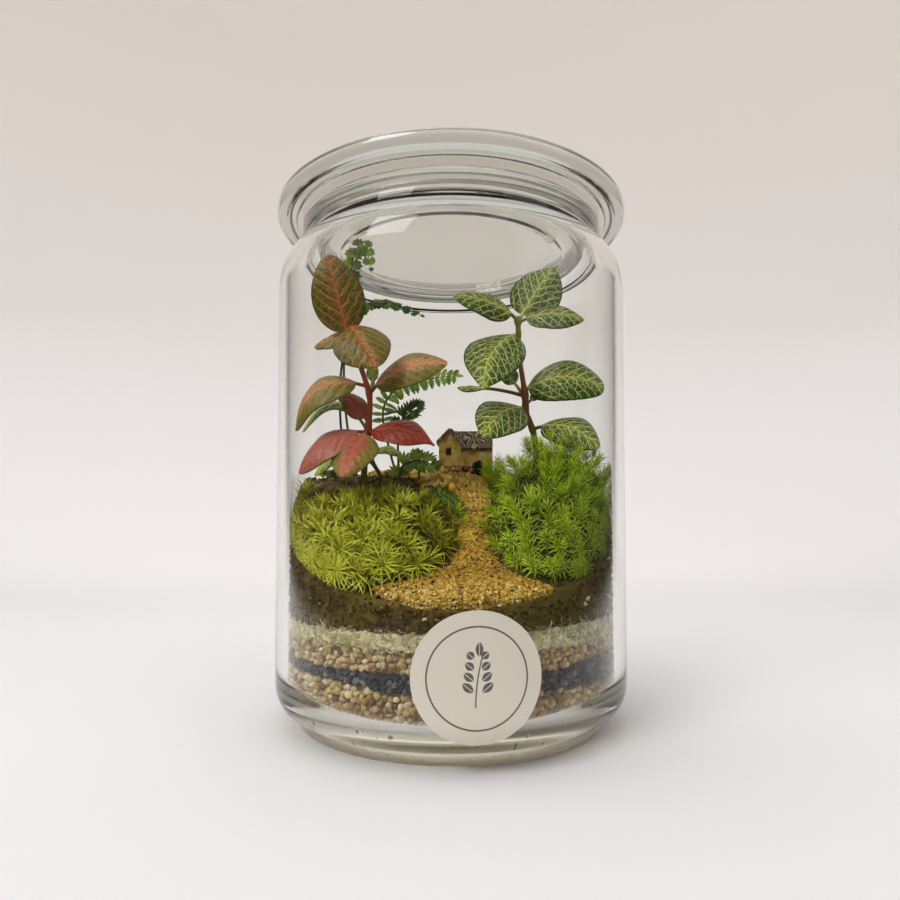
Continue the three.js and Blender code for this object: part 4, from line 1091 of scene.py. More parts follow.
@dataclass
class Jar:
    """The lidded storage jar: glass body, clear lid and its sealing ring."""

    steps: int = 112
    neck_radius: float = 44.0
    neck_wall: float = 2.2
    top: float = 142.3
    shoulder_start: float = 121.0
    shoulder_end: float = 133.8
    inner_radius: float = 47.5
    upper_wall: float = 2.5
    floor: float = 6.7
    foot_inner: float = 40.0
    kick: float = 2.4
    lid_radius: float = 51.2
    lid_rim: float = 147.2
    lid_underside: float = 142.65
    plug_radius: float = 40.2
    plug_bottom: float = 134.8
    panel_radius: float = 30.1
    panel_bottom: float = 136.4
    panel_wall: float = 2.2
    glass: GlassFinish = GlassFinish("clear_glass", (1.0, 1.0, 0.99), frost=0.55, density=15.0)
    plastic: GlassFinish = GlassFinish(
        "clear_lid_plastic",
        (0.78, 0.77, 0.725),
        ior=1.49,
        sheen_share=0.9,
        body_tint=(0.5, 0.48, 0.42),
        density=60.0,
    )
    seal: GlassFinish = GlassFinish("sealing_ring", (0.93, 0.95, 0.96), ior=1.42, roughness=0.25)

    def body_outline(self) -> list[Pair]:
        """The jar's section: kick, foot ring, heel, wall, shoulder, neck and the inside."""
        inner_neck = self.neck_radius - self.neck_wall
        inner_shoulder = JAR_RADIUS - self.upper_wall - inner_neck
        foot = [
            (0.0, self.kick),
            (self.foot_inner - 3, self.kick - 0.4),
            (self.foot_inner, 0.3),
            (self.foot_inner + 0.9, 0.0),
            (FOOT_RADIUS - 1.9, 0.0),
            *arc((FOOT_RADIUS - 1.75, 1.8), (1.75, 1.8), -80, 50, 10),
            (FOOT_RADIUS - 0.55, FOOT_HEIGHT - 0.3),
        ]
        heel_bulge = (JAR_RADIUS - FOOT_RADIUS, WALL_TOP - FOOT_HEIGHT)
        shoulder_bulge = (JAR_RADIUS - self.neck_radius, self.shoulder_end - self.shoulder_start)
        lip = [
            (self.neck_radius, self.top - 0.9),
            (self.neck_radius - 0.9, self.top),
            (inner_neck + 0.4, self.top),
            (inner_neck, self.top - 0.6),
        ]
        return [
            *softened(foot, 0.7),
            *arc((FOOT_RADIUS, WALL_TOP), heel_bulge, -84, 0, 18),
            (JAR_RADIUS, 62.0),
            *arc((self.neck_radius, self.shoulder_start), shoulder_bulge, 0, 90, 20),
            *softened(lip, 0.5),
            *arc((inner_neck, self.shoulder_start), (inner_shoulder, 11.6), 90, 0, 18),
            (self.inner_radius, 60.0),
            *arc(HEEL_CENTRE, (HEEL_WIDTH, HEEL_DROP), 0, -90, 16),
            (0.0, self.floor),
        ]

    def lid_outline(self) -> list[Pair]:
        """The lid's section: dished panel, plug with a groove, and the rolled flange."""
        inside = self.plug_radius - 1.6
        groove = self.plug_radius - 1.2
        corners = [
            (0.0, self.panel_bottom),
            (self.panel_radius, self.panel_bottom),
            (33.3, self.plug_bottom),
            (39.2, self.plug_bottom),
            (self.plug_radius, self.plug_bottom + 1.1),
            (self.plug_radius, 138.4),
            (groove, 138.6),
            (groove, 140.8),
            (self.plug_radius, 141.0),
            (self.plug_radius, self.lid_underside),
            (45.4, self.lid_underside),
            (45.9, 143.5),
            (47.5, 143.6),
            (48.0, 142.95),
            (50.0, 142.95),
            (50.9, 143.6),
            (self.lid_radius, 145.0),
            (50.9, 146.5),
            (50.0, self.lid_rim),
            (48.4, self.lid_rim),
            (47.6, 146.3),
            (47.2, 145.3),
            (44.4, 145.1),
            (inside, 143.4),
            (inside - 0.4, 137.4),
            (33.9, 137.0),
            (self.panel_radius + 0.6, self.panel_bottom + self.panel_wall),
            (0.0, self.panel_bottom + self.panel_wall),
        ]
        return softened(corners, 0.5)

    @staticmethod
    def seal_outline() -> list[Pair]:
        """The sealing ring's section: square in the groove, rounded where it meets the neck."""
        low, crown, high = 138.9, 139.7, 140.5
        section = softened([(40.2, low), (41.0, low), (41.3, crown), (41.0, high), (40.2, high)], 0.3)
        return [*section, (39.4, high), (39.4, low), section[0]]

    def make(self) -> None:
        """Builds and dresses the three pieces."""
        body = spun("storage_jar", self.body_outline(), self.steps)
        add_piece(body, self.glass.material(), "jar_glass", "jar_glass")
        lid = spun("dished_lid", self.lid_outline(), self.steps)
        add_piece(lid, self.plastic.material(), "lid_clear", "lid")
        ring = spun("sealing_ring", self.seal_outline(), self.steps)
        add_piece(ring, self.seal.material(), "gasket", "lid_gasket")


def add_piece(piece: bpy.types.Object, material: bpy.types.Material, slot: str, *nodes: str) -> None:
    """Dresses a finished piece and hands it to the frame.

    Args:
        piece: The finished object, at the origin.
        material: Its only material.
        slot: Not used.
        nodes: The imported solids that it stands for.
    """
    piece.data.materials.clear()
    piece.data.materials.append(material)
    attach(piece, "root")
    if nodes:
        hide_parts(*nodes)
    LOG.info("%s: %d faces", piece.name, len(piece.data.polygons))


@dataclass
class Sticker:
    """The round paper sticker, wrapped on the wall and creased where it meets the heel."""

    radius: float = 15.0
    turn: float = 0.117
    height: float = 22.1
    lift: float = 0.36
    thickness: float = 0.12
    steps: int = 96
    rings: int = 36
    crease: float = 0.32
    crease_pitch: float = 4.1
    crease_start: float = 8.2
    crease_span: float = 6.8
    deepest: float = -0.25
    finish: PaperFinish = PaperFinish("sticker_paper", srgb(236, 228, 212), srgb(104, 98, 92))

    def _surface_radius(self, height: Array) -> Array:
        """Radius of the glass at a height, over the heel and the straight wall."""
        drop = np.clip((WALL_TOP - height) / (WALL_TOP - FOOT_HEIGHT), 0, 1)
        return FOOT_RADIUS + (JAR_RADIUS - FOOT_RADIUS) * np.sqrt(1 - drop * drop)

    def make(self) -> None:
        """Builds and dresses the sticker."""
        u, v = np.meshgrid(np.arange(self.steps) / self.steps, np.linspace(0, 1, self.rings + 1)[1:])
        across, up = (np.append(side.ravel(), 0.0) for side in disc(self.radius)(u, v))
        low = np.clip(-(up + self.crease_start) / self.crease_span, 0, 1)
        ridge = np.abs(((across + 2 * self.radius) / self.crease_pitch) % 1 - 0.5) * 2
        creases = self.crease * low * (ridge - 0.4)
        angle = self.turn + across / JAR_RADIUS
        sheets = []
        for lift in (self.lift + self.thickness, self.lift):
            z = self.height + up
            radius = self._surface_radius(z) + lift + np.maximum(creases, self.deepest)
            sheets.append(np.stack([radius * np.sin(angle), -radius * np.cos(angle), z], -1))
        piece = self._closed(sheets).piece("paper_sticker", 40)
        printed = piece.data.uv_layers.new(name="disc")
        flat = np.tile(np.stack([across, up], -1), (2, 1))
        loops = np.empty(len(piece.data.loops), dtype=np.int64)
        piece.data.loops.foreach_get("vertex_index", loops)
        printed.data.foreach_set("uv", flat[loops].astype(np.float32).ravel())
        add_piece(piece, self.finish.material(), "sticker", "label")

    def _closed(self, sheets: Sequence[Array]) -> Shape:
        """Joins the outer and the inner sheet round their edge."""
        here = np.arange(self.steps)
        there = (here + 1) % self.steps
        middle = self.steps * self.rings
        size = middle + 1
        triangles = []
        for start, outer in ((0, True), (size, False)):
            face = [np.stack([np.full(self.steps, middle), here, there], -1)]
            for ring in range(self.rings - 1):
                a, b = ring * self.steps + here, ring * self.steps + there
                c, d = a + self.steps, b + self.steps
                face += [np.stack([a, c, d], -1), np.stack([a, d, b], -1)]
            sheet = np.concatenate(face) + start
            triangles.append(sheet if outer else sheet[:, ::-1])
        rim = (self.rings - 1) * self.steps
        a, b = rim + here, rim + there
        triangles += [np.stack([a, a + size, b + size], -1), np.stack([a, b + size, b], -1)]
        return Shape(np.concatenate(sheets), np.concatenate(triangles))


# Beds under the soil


@dataclass(frozen=True)
class Level:
    """A face between two beds: its mean height and how far it waves round the glass."""

    height: float
    wave: float
    phase: float

    def __call__(self, x: Array, y: Array) -> Array:
        """Height of the face at x and y."""
        turn = np.arctan2(y, x)
        reach = np.hypot(x, y) / FILL_RADIUS
        swing = np.sin(2 * turn + self.phase) + 0.5 * np.sin(5 * turn + 2.1 * self.phase)
        return self.height + self.wave * reach * swing


GRIT_BOTTOM = Level(17.6, 1.1, 0.4)
GRIT_TOP = Level(22.4, 0.8, 1.9)
GRAVEL_TOP = Level(27.3, 0.5, 0.7)
DRY_MOSS_TOP = Level(31.4, 0.5, 2.6)


def glass_floor(x: Array, y: Array) -> Array:
    """Height of the lowest fill: level in the middle, round at the heel."""
    across = np.clip((np.hypot(x, y) + 0.6 - HEEL_CENTRE[0]) / HEEL_WIDTH, 0, 0.98)
    return HEEL_CENTRE[1] - HEEL_DROP * np.sqrt(1 - across * across) + 0.35


@dataclass
class Bed:
    """One bed of loose grains: a dull dark body, painted shade in the gaps, with grains packed against the
    glass.
    """

    name: str
    node: str
    slot: str
    lower: Height
    upper: Height
    grain: Pair
    finish: GrainFinish
    seed: int
    unevenness: float = 0.5
    layers: int = 2
    spacing: float = 1.62
    course: float = 0.86
    lowest: float = 7.2
    highest: float = 34.0

    def _places(self, draw: np.random.Generator, depth: int) -> tuple[Array, Array]:
        """Places and radii of one layer of grains on the glass."""
        pitch = sum(self.grain) / 2 * self.spacing
        around = int(2 * math.pi * FILL_RADIUS / pitch)
        places, radii = [], []
        for row in range(int((self.highest - self.lowest) / (pitch * self.course))):
            height = self.lowest + (row + 0.5 * (depth % 2)) * pitch * self.course
            steps = np.arange(around) + 0.5 * (row % 2) + draw.uniform(-0.3, 0.3, around)
            size = draw.uniform(*self.grain, around)
            z = height + draw.uniform(-0.25, 0.25, around) * pitch
            reach = glass_inside(z) - size * (0.86 + 1.15 * depth)
            x, y = polar(reach, steps * 2 * np.pi / around)
            keep = (z - 0.35 * size > self.lower(x, y)) & (z + 0.2 * size < self.upper(x, y))
            places.append(np.stack([x, y, z], -1)[keep])
            radii.append(size[keep])
        return np.concatenate(places), np.concatenate(radii)

    def make(self) -> None:
        """Builds and dresses the bed."""
        draw = np.random.default_rng(self.seed)
        round_body = disc(FILL_RADIUS - sum(self.grain) * 0.55, 0.6)
        body = roughened(closed_sheet(round_body, self.upper, self.lower, 96, 8, 4), 0.35, 0.7)
        # painted shade: the body's low tone picks the darkest stops, so the gaps between the grains look
        # shaded
        body.values["tone"] = np.array([0.08 + 0.1 * noise.noise(Vector(p) * 0.8) for p in body.points])
        grains = lumps(6, 4, self.unevenness, self.seed)
        shapes = [body]
        for depth in range(self.layers):
            places, radii = self._places(draw, depth)
            shapes.append(scattered(grains, places, radii, draw, (0.72, 1.05)))
        whole = Shape.joined(shapes)
        whole.points = inside_glass(whole.points, FILL_RADIUS + 0.2)
        add_piece(whole.piece(self.name, 55), self.finish.material(), self.slot, self.node)


GRAVEL_STOPS = shades(
    (0.0, 104, 78, 38), (0.12, 154, 122, 68), (0.34, 182, 152, 94), (0.58, 200, 172, 114),
    (0.78, 216, 196, 146), (0.92, 230, 218, 186), (1.0, 166, 108, 58),
)
GRIT_STOPS = shades((0.0, 16, 16, 17), (0.5, 34, 35, 36), (0.8, 62, 64, 65), (1.0, 118, 120, 118))
SAND_STOPS = shades(
    (0.0, 38, 24, 10), (0.045, 78, 50, 12), (0.09, 140, 100, 16), (0.35, 186, 146, 36),
    (0.65, 210, 174, 64), (0.9, 228, 202, 108), (1.0, 246, 232, 180),
)
PEBBLE_STOPS = shades(
    (0.0, 212, 156, 38), (0.35, 240, 198, 66), (0.7, 250, 222, 116), (0.92, 254, 242, 190),
    (1.0, 254, 251, 234),
)
SOIL_SPECKS = shades(
    (0.0, 60, 46, 16), (0.6, 88, 70, 28), (0.9, 116, 94, 42), (0.975, 134, 112, 60),
    (0.99, 206, 196, 164), (1.0, 236, 230, 212),
)


def beds() -> list[Bed]:
    """The three beds of gravel and grit, from the bottom up."""
    gravel = GrainFinish("tan_gravel", GRAVEL_STOPS, roughness=0.5)
    grit = GrainFinish("black_grit", GRIT_STOPS, roughness=0.28, mottle=0.2)
    return [
        Bed("gravel_low", "gravel_bottom", "gravel_tan", glass_floor, GRIT_BOTTOM, (0.85, 1.35), gravel, 3),
        Bed("grit_layer", "grit_black", "grit_black", GRIT_BOTTOM, GRIT_TOP, (0.75, 1.25), grit, 5, 0.8),
        Bed("gravel_high", "gravel_upper", "gravel_tan", GRIT_TOP, GRAVEL_TOP, (0.8, 1.2), gravel, 7),
    ]


@dataclass
class DryMoss:
    """The thin mat of pale dry moss: a fuzzy body with short curled fibres."""

    fibres: int = 4800
    seed: int = 13
    finish: MossFinish = MossFinish(
        "dry_moss",
        # painted shade colour; no point of the mat reaches it
        painted_deep_shade=srgb(140, 130, 78),
        foot=srgb(164, 152, 98),
        middle=srgb(232, 222, 178),
        tip=srgb(255, 252, 232),
        dry=srgb(144, 150, 52),
        shade_low=-1.0,
        shade_high=-0.5,
        patchiness=1.1,
    )

    def make(self) -> None:
        """Builds and dresses the mat."""
        draw = np.random.default_rng(self.seed)
        mat = closed_sheet(disc(FILL_RADIUS - 0.5, 0.6), DRY_MOSS_TOP, GRAVEL_TOP, 160, 6, 6)
        body = roughened(mat, 0.8, 0.8)
        clumps = np.array([noise.noise(Vector(point) * 0.35) for point in body.points])
        greener = smoothstep(body.points[:, 0], 4.0, 30.0)
        body.values |= {"tip": 0.72 + 0.5 * clumps, "tone": 0.3 + 0.4 * greener}
        whole = Shape.joined([body, self._hairs(draw)])
        whole.points = inside_glass(whole.points, FILL_RADIUS + 0.25)
        add_piece(whole.piece("dry_moss_mat"), self.finish.material(), "dry_moss", "moss_filter")

    def _hairs(self, draw: np.random.Generator) -> Shape:
        """Curled fibres that lie against the glass, greener to the right."""
        count = self.fibres
        turn = draw.uniform(0, 2 * np.pi, count)
        x, y = polar(FILL_RADIUS - draw.uniform(0.1, 0.6, count), turn)
        low, high = GRAVEL_TOP(x, y), DRY_MOSS_TOP(x, y)
        z = low + (high - low) * draw.uniform(-0.16, 1.16, count)
        around = np.stack([-np.sin(turn), np.cos(turn), np.zeros_like(turn)], -1)
        slope = draw.normal(0, 0.6, count)[:, None] * UP
        along = around * draw.choice([-1, 1], count)[:, None] + slope
        towards = draw.choice([-1.0, 1.0], count)[:, None] * UP
        lengths, widths = draw.uniform(0.8, 2.6, count), draw.uniform(0.12, 0.28, count)
        bends = draw.uniform(0.3, 1.0, count)
        hairs = needles(np.stack([x, y, z], -1), along, towards, lengths, widths, bends, 2)
        tone = np.clip(draw.uniform(0, 1, count) + 0.3 * smoothstep(x, -8.0, 26.0), 0, 1)
        hairs.values["tone"] = np.repeat(tone, len(hairs.points) // count)
        hairs.values["tip"] = np.clip(hairs.values["tip"] * 0.4 + 0.65, 0, 1)
        return hairs


def needles(
    roots: Array,
    along: Array,
    towards: Array,
    lengths: Array,
    widths: Array,
    bends: Array,
    segments: int,
) -> Shape:
    """Three-sided needles that taper to a point and bend to one side.

    Args:
        roots: Where each needle starts.
        along: The way each starts off.
        towards: The way each bends.
        lengths: Length of each.
        widths: Half the width of each at its foot.
        bends: Sideways reach of each tip, as a share of its length.
        segments: Steps along a needle.

    Returns:
        All the needles as one shape, with the value "tip" from 0 to 1 along each.
    """
    along = along / np.linalg.norm(along, axis=1, keepdims=True)
    towards = towards - along * np.sum(along * towards, axis=1, keepdims=True)
    towards = towards / np.maximum(np.linalg.norm(towards, axis=1, keepdims=True), 1e-6)
    across = np.cross(along, towards)
    count = len(roots)
    rows = []
    tips = []
    for step in range(segments):
        t = step / segments
        centre = roots + along * (lengths * (t - 0.25 * bends * t * t))[:, None]
        centre = centre + towards * (lengths * bends * t * t)[:, None]
        half = (widths * (0.75 + 0.9 * t - 1.5 * t * t))[:, None]
        rows += [centre + across * half, centre - across * half, centre + towards * half * 0.55]
        tips += [t, t, t]
    tip = roots + along * (lengths * (1 - 0.25 * bends))[:, None] + towards * (lengths * bends)[:, None]
    rows.append(tip)
    tips.append(1.0)
    points = np.stack(rows, 1).reshape(-1, 3)
    one: list[tuple[int, int, int]] = [(0, 1, 2)]
    for step in range(segments - 1):
        base = step * 3
        for a, b in ((0, 1), (1, 2), (2, 0)):
            one += [(base + a, base + b + 3, base + b), (base + a, base + a + 3, base + b + 3)]
    last = (segments - 1) * 3
    end = segments * 3
    one += [(last + a, end, last + b) for a, b in ((0, 1), (1, 2), (2, 0))]
    each = segments * 3 + 1
    triangles = (np.array(one)[None] + np.arange(count)[:, None, None] * each).reshape(-1, 3)
    return Shape(points, triangles, {"tip": np.tile(np.array(tips), count)})


@dataclass
class Soil:
    """The hill of dark soil, its crumbs and a few grains of pale grit."""

    crumbs_on_top: int = 2000
    crumbs_on_glass: int = 1700
    seed: int = 21
    finish: SoilFinish = SoilFinish(
        "damp_soil",
        dark=srgb(56, 43, 14),
        light=srgb(122, 98, 46),
        olive=srgb(100, 94, 28),
        specks=SOIL_SPECKS,
    )

    @staticmethod
    def top(x: Array, y: Array) -> Array:
        """Height of the soil with the level seat under the cottage."""
        return seated(x, y, ground_height(x, y))

    def make(self) -> None:
        """Builds and dresses the hill."""
        draw = np.random.default_rng(self.seed)
        hill = closed_sheet(disc(FILL_RADIUS - 0.45), self.top, DRY_MOSS_TOP, 168, 44, 18)
        body = roughened(hill, 0.42, 0.55)
        body.values["crumb"] = np.zeros(len(body.points))
        clods = lumps(5, 3, 0.8, 30)
        reach = (FILL_RADIUS - 0.8) * np.sqrt(draw.uniform(0, 1, self.crumbs_on_top))
        x, y = polar(reach, draw.uniform(0, 2 * np.pi, self.crumbs_on_top))
        size = draw.uniform(0.25, 0.8, self.crumbs_on_top)
        on_top = scattered(clods, np.stack([x, y, self.top(x, y) + 0.1], -1), size, draw)
        turn = draw.uniform(0, 2 * np.pi, self.crumbs_on_glass)
        size = draw.uniform(0.22, 0.72, self.crumbs_on_glass) ** 1.2
        x, y = polar(FILL_RADIUS - 0.55 * size, turn)
        low, high = DRY_MOSS_TOP(x, y), self.top(x, y)
        z = low + 0.5 + (high - low - 0.6) * draw.uniform(0, 1, self.crumbs_on_glass) ** 1.2
        on_glass = scattered(clods, np.stack([x, y, z], -1), size, draw)
        crumbs = Shape.joined([on_top, on_glass])
        crumbs.values["crumb"] = np.ones(len(crumbs.points))
        whole = Shape.joined([body, crumbs])
        whole.points = inside_glass(whole.points, FILL_RADIUS + 0.25)
        add_piece(whole.piece("soil_hill", 70), self.finish.material(), "soil", "soil")


# Sand, pebbles and stones

# y, left edge and right edge, from the cottage to the front glass
PATH_STATIONS = (
    (4.8, -4.2, 10.4),
    (-2.0, -3.0, 10.8),
    (-8.0, -1.2, 10.9),
    (-14.0, 0.2, 10.2),
    (-20.0, 1.4, 9.6),
    (-26.0, 1.8, 9.8),
    (-31.0, 1.0, 11.5),
    (-34.0, -4.0, 15.0),
    (-37.0, -10.5, 19.5),
    (-39.5, -17.0, 23.0),
    (-41.5, -16.0, 19.5),
    (-43.5, -12.0, 14.0),
    (-45.4, -6.0, 6.6),
)


@dataclass
class SandPath:
    """The golden sand path, from the cottage down to its fan behind the front glass."""

    grains: int = 3900
    rim_grains: int = 1000
    thickness: float = 1.9
    lift: float = 0.45
    rows: int = 90
    columns: int = 26
    stations: int = 400
    seed: int = 27
    finish: GrainFinish = GrainFinish(
        "golden_sand", SAND_STOPS, roughness=0.35, mottle=0.25, pattern=1500.0
    )

    def surface(self, t: Array, share: Array) -> tuple[Array, Array, Array]:
        """Points on the path's top.

        Args:
            t: Place along the path, 0 at the cottage and 1 at the glass.
            share: Place across it, 0 at the left edge and 1 at the right.

        Returns:
            x, y and the height of the sand.
        """
        stations = np.array(PATH_STATIONS)
        index = np.linspace(0, 1, len(stations))
        y, left, right = (np.interp(t, index, stations[:, k]) for k in range(3))
        edge = 0.5 * np.sin(23 * t) + 0.35 * np.sin(61 * t + 1)
        left, right = left + edge, right - 0.6 * edge
        x = left + (right - left) * share
        crown = 0.3 + 0.7 * np.sin(np.pi * np.clip(share, 0.01, 0.99)) ** 0.6
        return x, y, ground_height(x, y) + self.lift + self.thickness * crown

    def _body(self) -> Shape:
        """The closed body of sand under the loose grains."""
        along, across = np.linspace(0, 1, self.rows), np.linspace(0, 1, self.columns)
        x, y, z = self.surface(*np.meshgrid(along, across, indexing="ij"))
        low = ground_height(x, y) - 0.4
        z = seated(x, y, z)
        top = np.stack([x, y, z], -1).reshape(-1, 3)
        bottom = np.stack([x, y, np.minimum(low, z - 0.1)], -1).reshape(-1, 3)
        body = roughened(closed_grid(top, bottom, self.rows, self.columns), 0.2, 0.9)
        body.values["tone"] = np.array([0.45 + 0.5 * noise.noise(Vector(p) * 2.1) for p in body.points])
        return body

    def _strewn(self, forms: Sequence[Shape], draw: np.random.Generator) -> Shape:
        """Loose grains, spread by the path's width, with painted shade darkening them where the path runs
        between the mosses.
        """
        edges = np.array(PATH_STATIONS)
        along = np.linspace(0, 1, self.stations)
        width = np.interp(along, np.linspace(0, 1, len(edges)), edges[:, 2] - edges[:, 1])
        t = draw.choice(along, self.grains, p=width / width.sum())
        t = t + draw.uniform(-0.002, 0.002, self.grains)
        x, y, z = self.surface(np.clip(t, 0, 1), draw.uniform(-0.02, 1.02, self.grains))
        size = draw.uniform(0.22, 0.55, self.grains) * np.interp(t, [0, 0.5, 1], [0.95, 0.9, 1.25])
        x = x + draw.normal(0, 0.25, self.grains)
        places = np.stack([x, y, seated(x, y, z) + 0.12 * size], -1)
        grains = scattered(forms, places, size, draw, (0.7, 1.1))
        depth = grains.points[:, 1]
        # painted shade: grains darker along the middle of the path, where the mosses on both sides shade it
        shade_between_moss = smoothstep(depth, -8.0, -22.0) * smoothstep(depth, -42.0, -34.0)
        grains.values["tone"] = grains.values["tone"] * (1 - 0.5 * shade_between_moss)
        return grains

    def _rim(self, forms: Sequence[Shape], draw: np.random.Generator) -> Shape:
        """Larger grains down both sides and along the front of the fan."""
        count = self.rim_grains
        t = draw.uniform(0.45, 1.0, count)
        side = np.where(draw.uniform(0, 1, count) < 0.5, 0.0, 1.0)
        front = draw.uniform(0, 1, count) < 0.4
        t, side = np.where(front, 1.0, t), np.where(front, draw.uniform(0, 1, count), side)
        x, y, z = self.surface(t, side)
        sunk = draw.uniform(0, 1, count) * (z - ground_height(x, y))
        places = np.stack([x, y, z - sunk], -1)
        return scattered(forms, places, draw.uniform(0.3, 0.6, count), draw)

    def make(self) -> None:
        """Builds and dresses the path."""
        draw = np.random.default_rng(self.seed)
        forms = lumps(5, 3, 0.7, 50)
        whole = Shape.joined([self._body(), self._strewn(forms, draw), self._rim(forms, draw)])
        whole.points = inside_glass(whole.points, FILL_RADIUS + 0.2)
        add_piece(whole.piece("sand_walk", 50), self.finish.material(), "sand", "sand_path")


def closed_grid(top: Array, bottom: Array, rows: int, columns: int) -> Shape:
    """Joins two sheets over the same grid, top and bottom, round their edge."""
    size = rows * columns
    index = np.arange(size).reshape(rows, columns)
    a, b, c, d = index[:-1, :-1], index[1:, :-1], index[1:, 1:], index[:-1, 1:]
    face = np.concatenate([np.stack(corners, -1).reshape(-1, 3) for corners in ([a, b, c], [a, c, d])])
    rim = np.concatenate([index[:, 0], index[-1, 1:], index[-2::-1, -1], index[0, -2:0:-1]])
    onward = np.roll(rim, -1)
    halves = ([rim, rim + size, onward + size], [rim, onward + size, onward])
    wall = np.concatenate([np.stack(corners, -1) for corners in halves])
    return Shape(np.concatenate([top, bottom]), np.concatenate([face, face[:, ::-1] + size, wall]))


@dataclass
class Pebbles:
    """Yellow pebbles scattered over the crest and along the head of the path."""

    centre: Pair = (-16.0, 15.5)
    semi: Pair = (11.0, 6.5)
    on_bed: int = 190
    by_path: int = 130
    seed: int = 33
    finish: GrainFinish = GrainFinish(
        "yellow_pebbles", PEBBLE_STOPS, roughness=0.4, mottle=0.2, pattern=700.0
    )

    def make(self) -> None:
        """Builds and dresses the pebbles."""
        draw = np.random.default_rng(self.seed)
        reach = np.sqrt(draw.uniform(0, 1, self.on_bed))
        turn = draw.uniform(0, 2 * np.pi, self.on_bed)
        x = self.centre[0] + self.semi[0] * reach * np.cos(turn)
        y = self.centre[1] + self.semi[1] * reach * np.sin(turn)
        path_y = draw.uniform(-6, 6.4, self.by_path)
        path_x = draw.uniform(-9.5, -0.5, self.by_path) + 0.12 * (2 - path_y)
        x, y = np.append(x, path_x), np.append(y, path_y)
        size = draw.uniform(0.55, 1.2, len(x))
        on_sand = 2.2 * smoothstep(x, -7.0, -4.6) * smoothstep(y, 8.0, 5.0)
        z = seated(x, y, ground_height(x, y) + 0.9 + on_sand) + 0.25 * size
        stack = draw.uniform(0, 1, len(x)) < 0.25
        z = z + np.where(stack, 0.8, 0.0)
        shape = scattered(lumps(8, 5, 0.45, 70), np.stack([x, y, z], -1), size, draw, (0.65, 1.0))
        add_piece(shape.piece("crest_pebbles", 60), self.finish.material(), "pebbles", "pebbles_hilltop")


@dataclass
class Rocks:
    """Two brown stones beside the red plant."""

    finish: StoneFinish = StoneFinish(
        "brown_stone", shades((0.25, 74, 50, 32), (0.5, 132, 98, 66), (0.75, 176, 146, 112))
    )

    def make(self) -> None:
        """Builds and dresses the stones."""
        material = self.finish.material()
        for name, node, centre, size, seed in (
            ("broad_rock", "stone_large", (-36.6, -2.6, 65.7), (5.0, 3.2, 2.2), 11),
            ("round_rock", "stone_small", (-30.4, 0.6, 67.4), (2.5, 2.2, 2.3), 23),
        ):
            shape = lump(40, 28, 0.35, seed)
            shape.points = shape.points * np.array(size) + np.array(centre)
            shape = roughened(shape, 0.22, 0.9)
            add_piece(shape.piece(name, 50), material, "stone_brown", node)


# The cottage


@dataclass(frozen=True)
class CottageFinish:
    """Painted cast resin: ochre walls, brown plinth stones, a strand roof and dark openings, with painted
    shade on the walls under the eaves.
    """

    name: str
    walls: Stops
    roof: Stops
    stones: Stops
    # painted shade: the colour that the walls darken to just under the roofs
    soot: Colour
    opening: Colour

    def material(self) -> bpy.types.Material:
        """Builds the material."""
        recipe = Recipe(self.name)
        point = recipe.point()
        blotches = recipe.noise(point, 420.0, 5.0, 0.65)
        fine = recipe.noise(point, 1800.0, 3.0)
        strand = recipe.value("strand")
        wall = recipe.ramp(blotches, self.walls)
        roof = recipe.ramp(strand * 0.62 + 0.36 * blotches, self.roof)
        # painted shade: walls darker just under the roofs
        wall = recipe.mix(recipe.value("soot") * 0.55, wall, self.soot)
        stones = recipe.ramp(recipe.value("stone") + 0.4 * (fine - 0.5), self.stones)
        colour = recipe.mix(recipe.value("roof"), wall, roof)
        colour = recipe.mix(recipe.value("plinth"), colour, stones)
        colour = recipe.mix(recipe.value("opening"), colour, self.opening)
        return recipe.surface(
            {
                "Base Color": colour,
                "Roughness": 0.62 + 0.2 * fine,
                "Normal": recipe.bump(0.6 * blotches + 0.4 * fine, 0.3, 0.8),
            }
        )


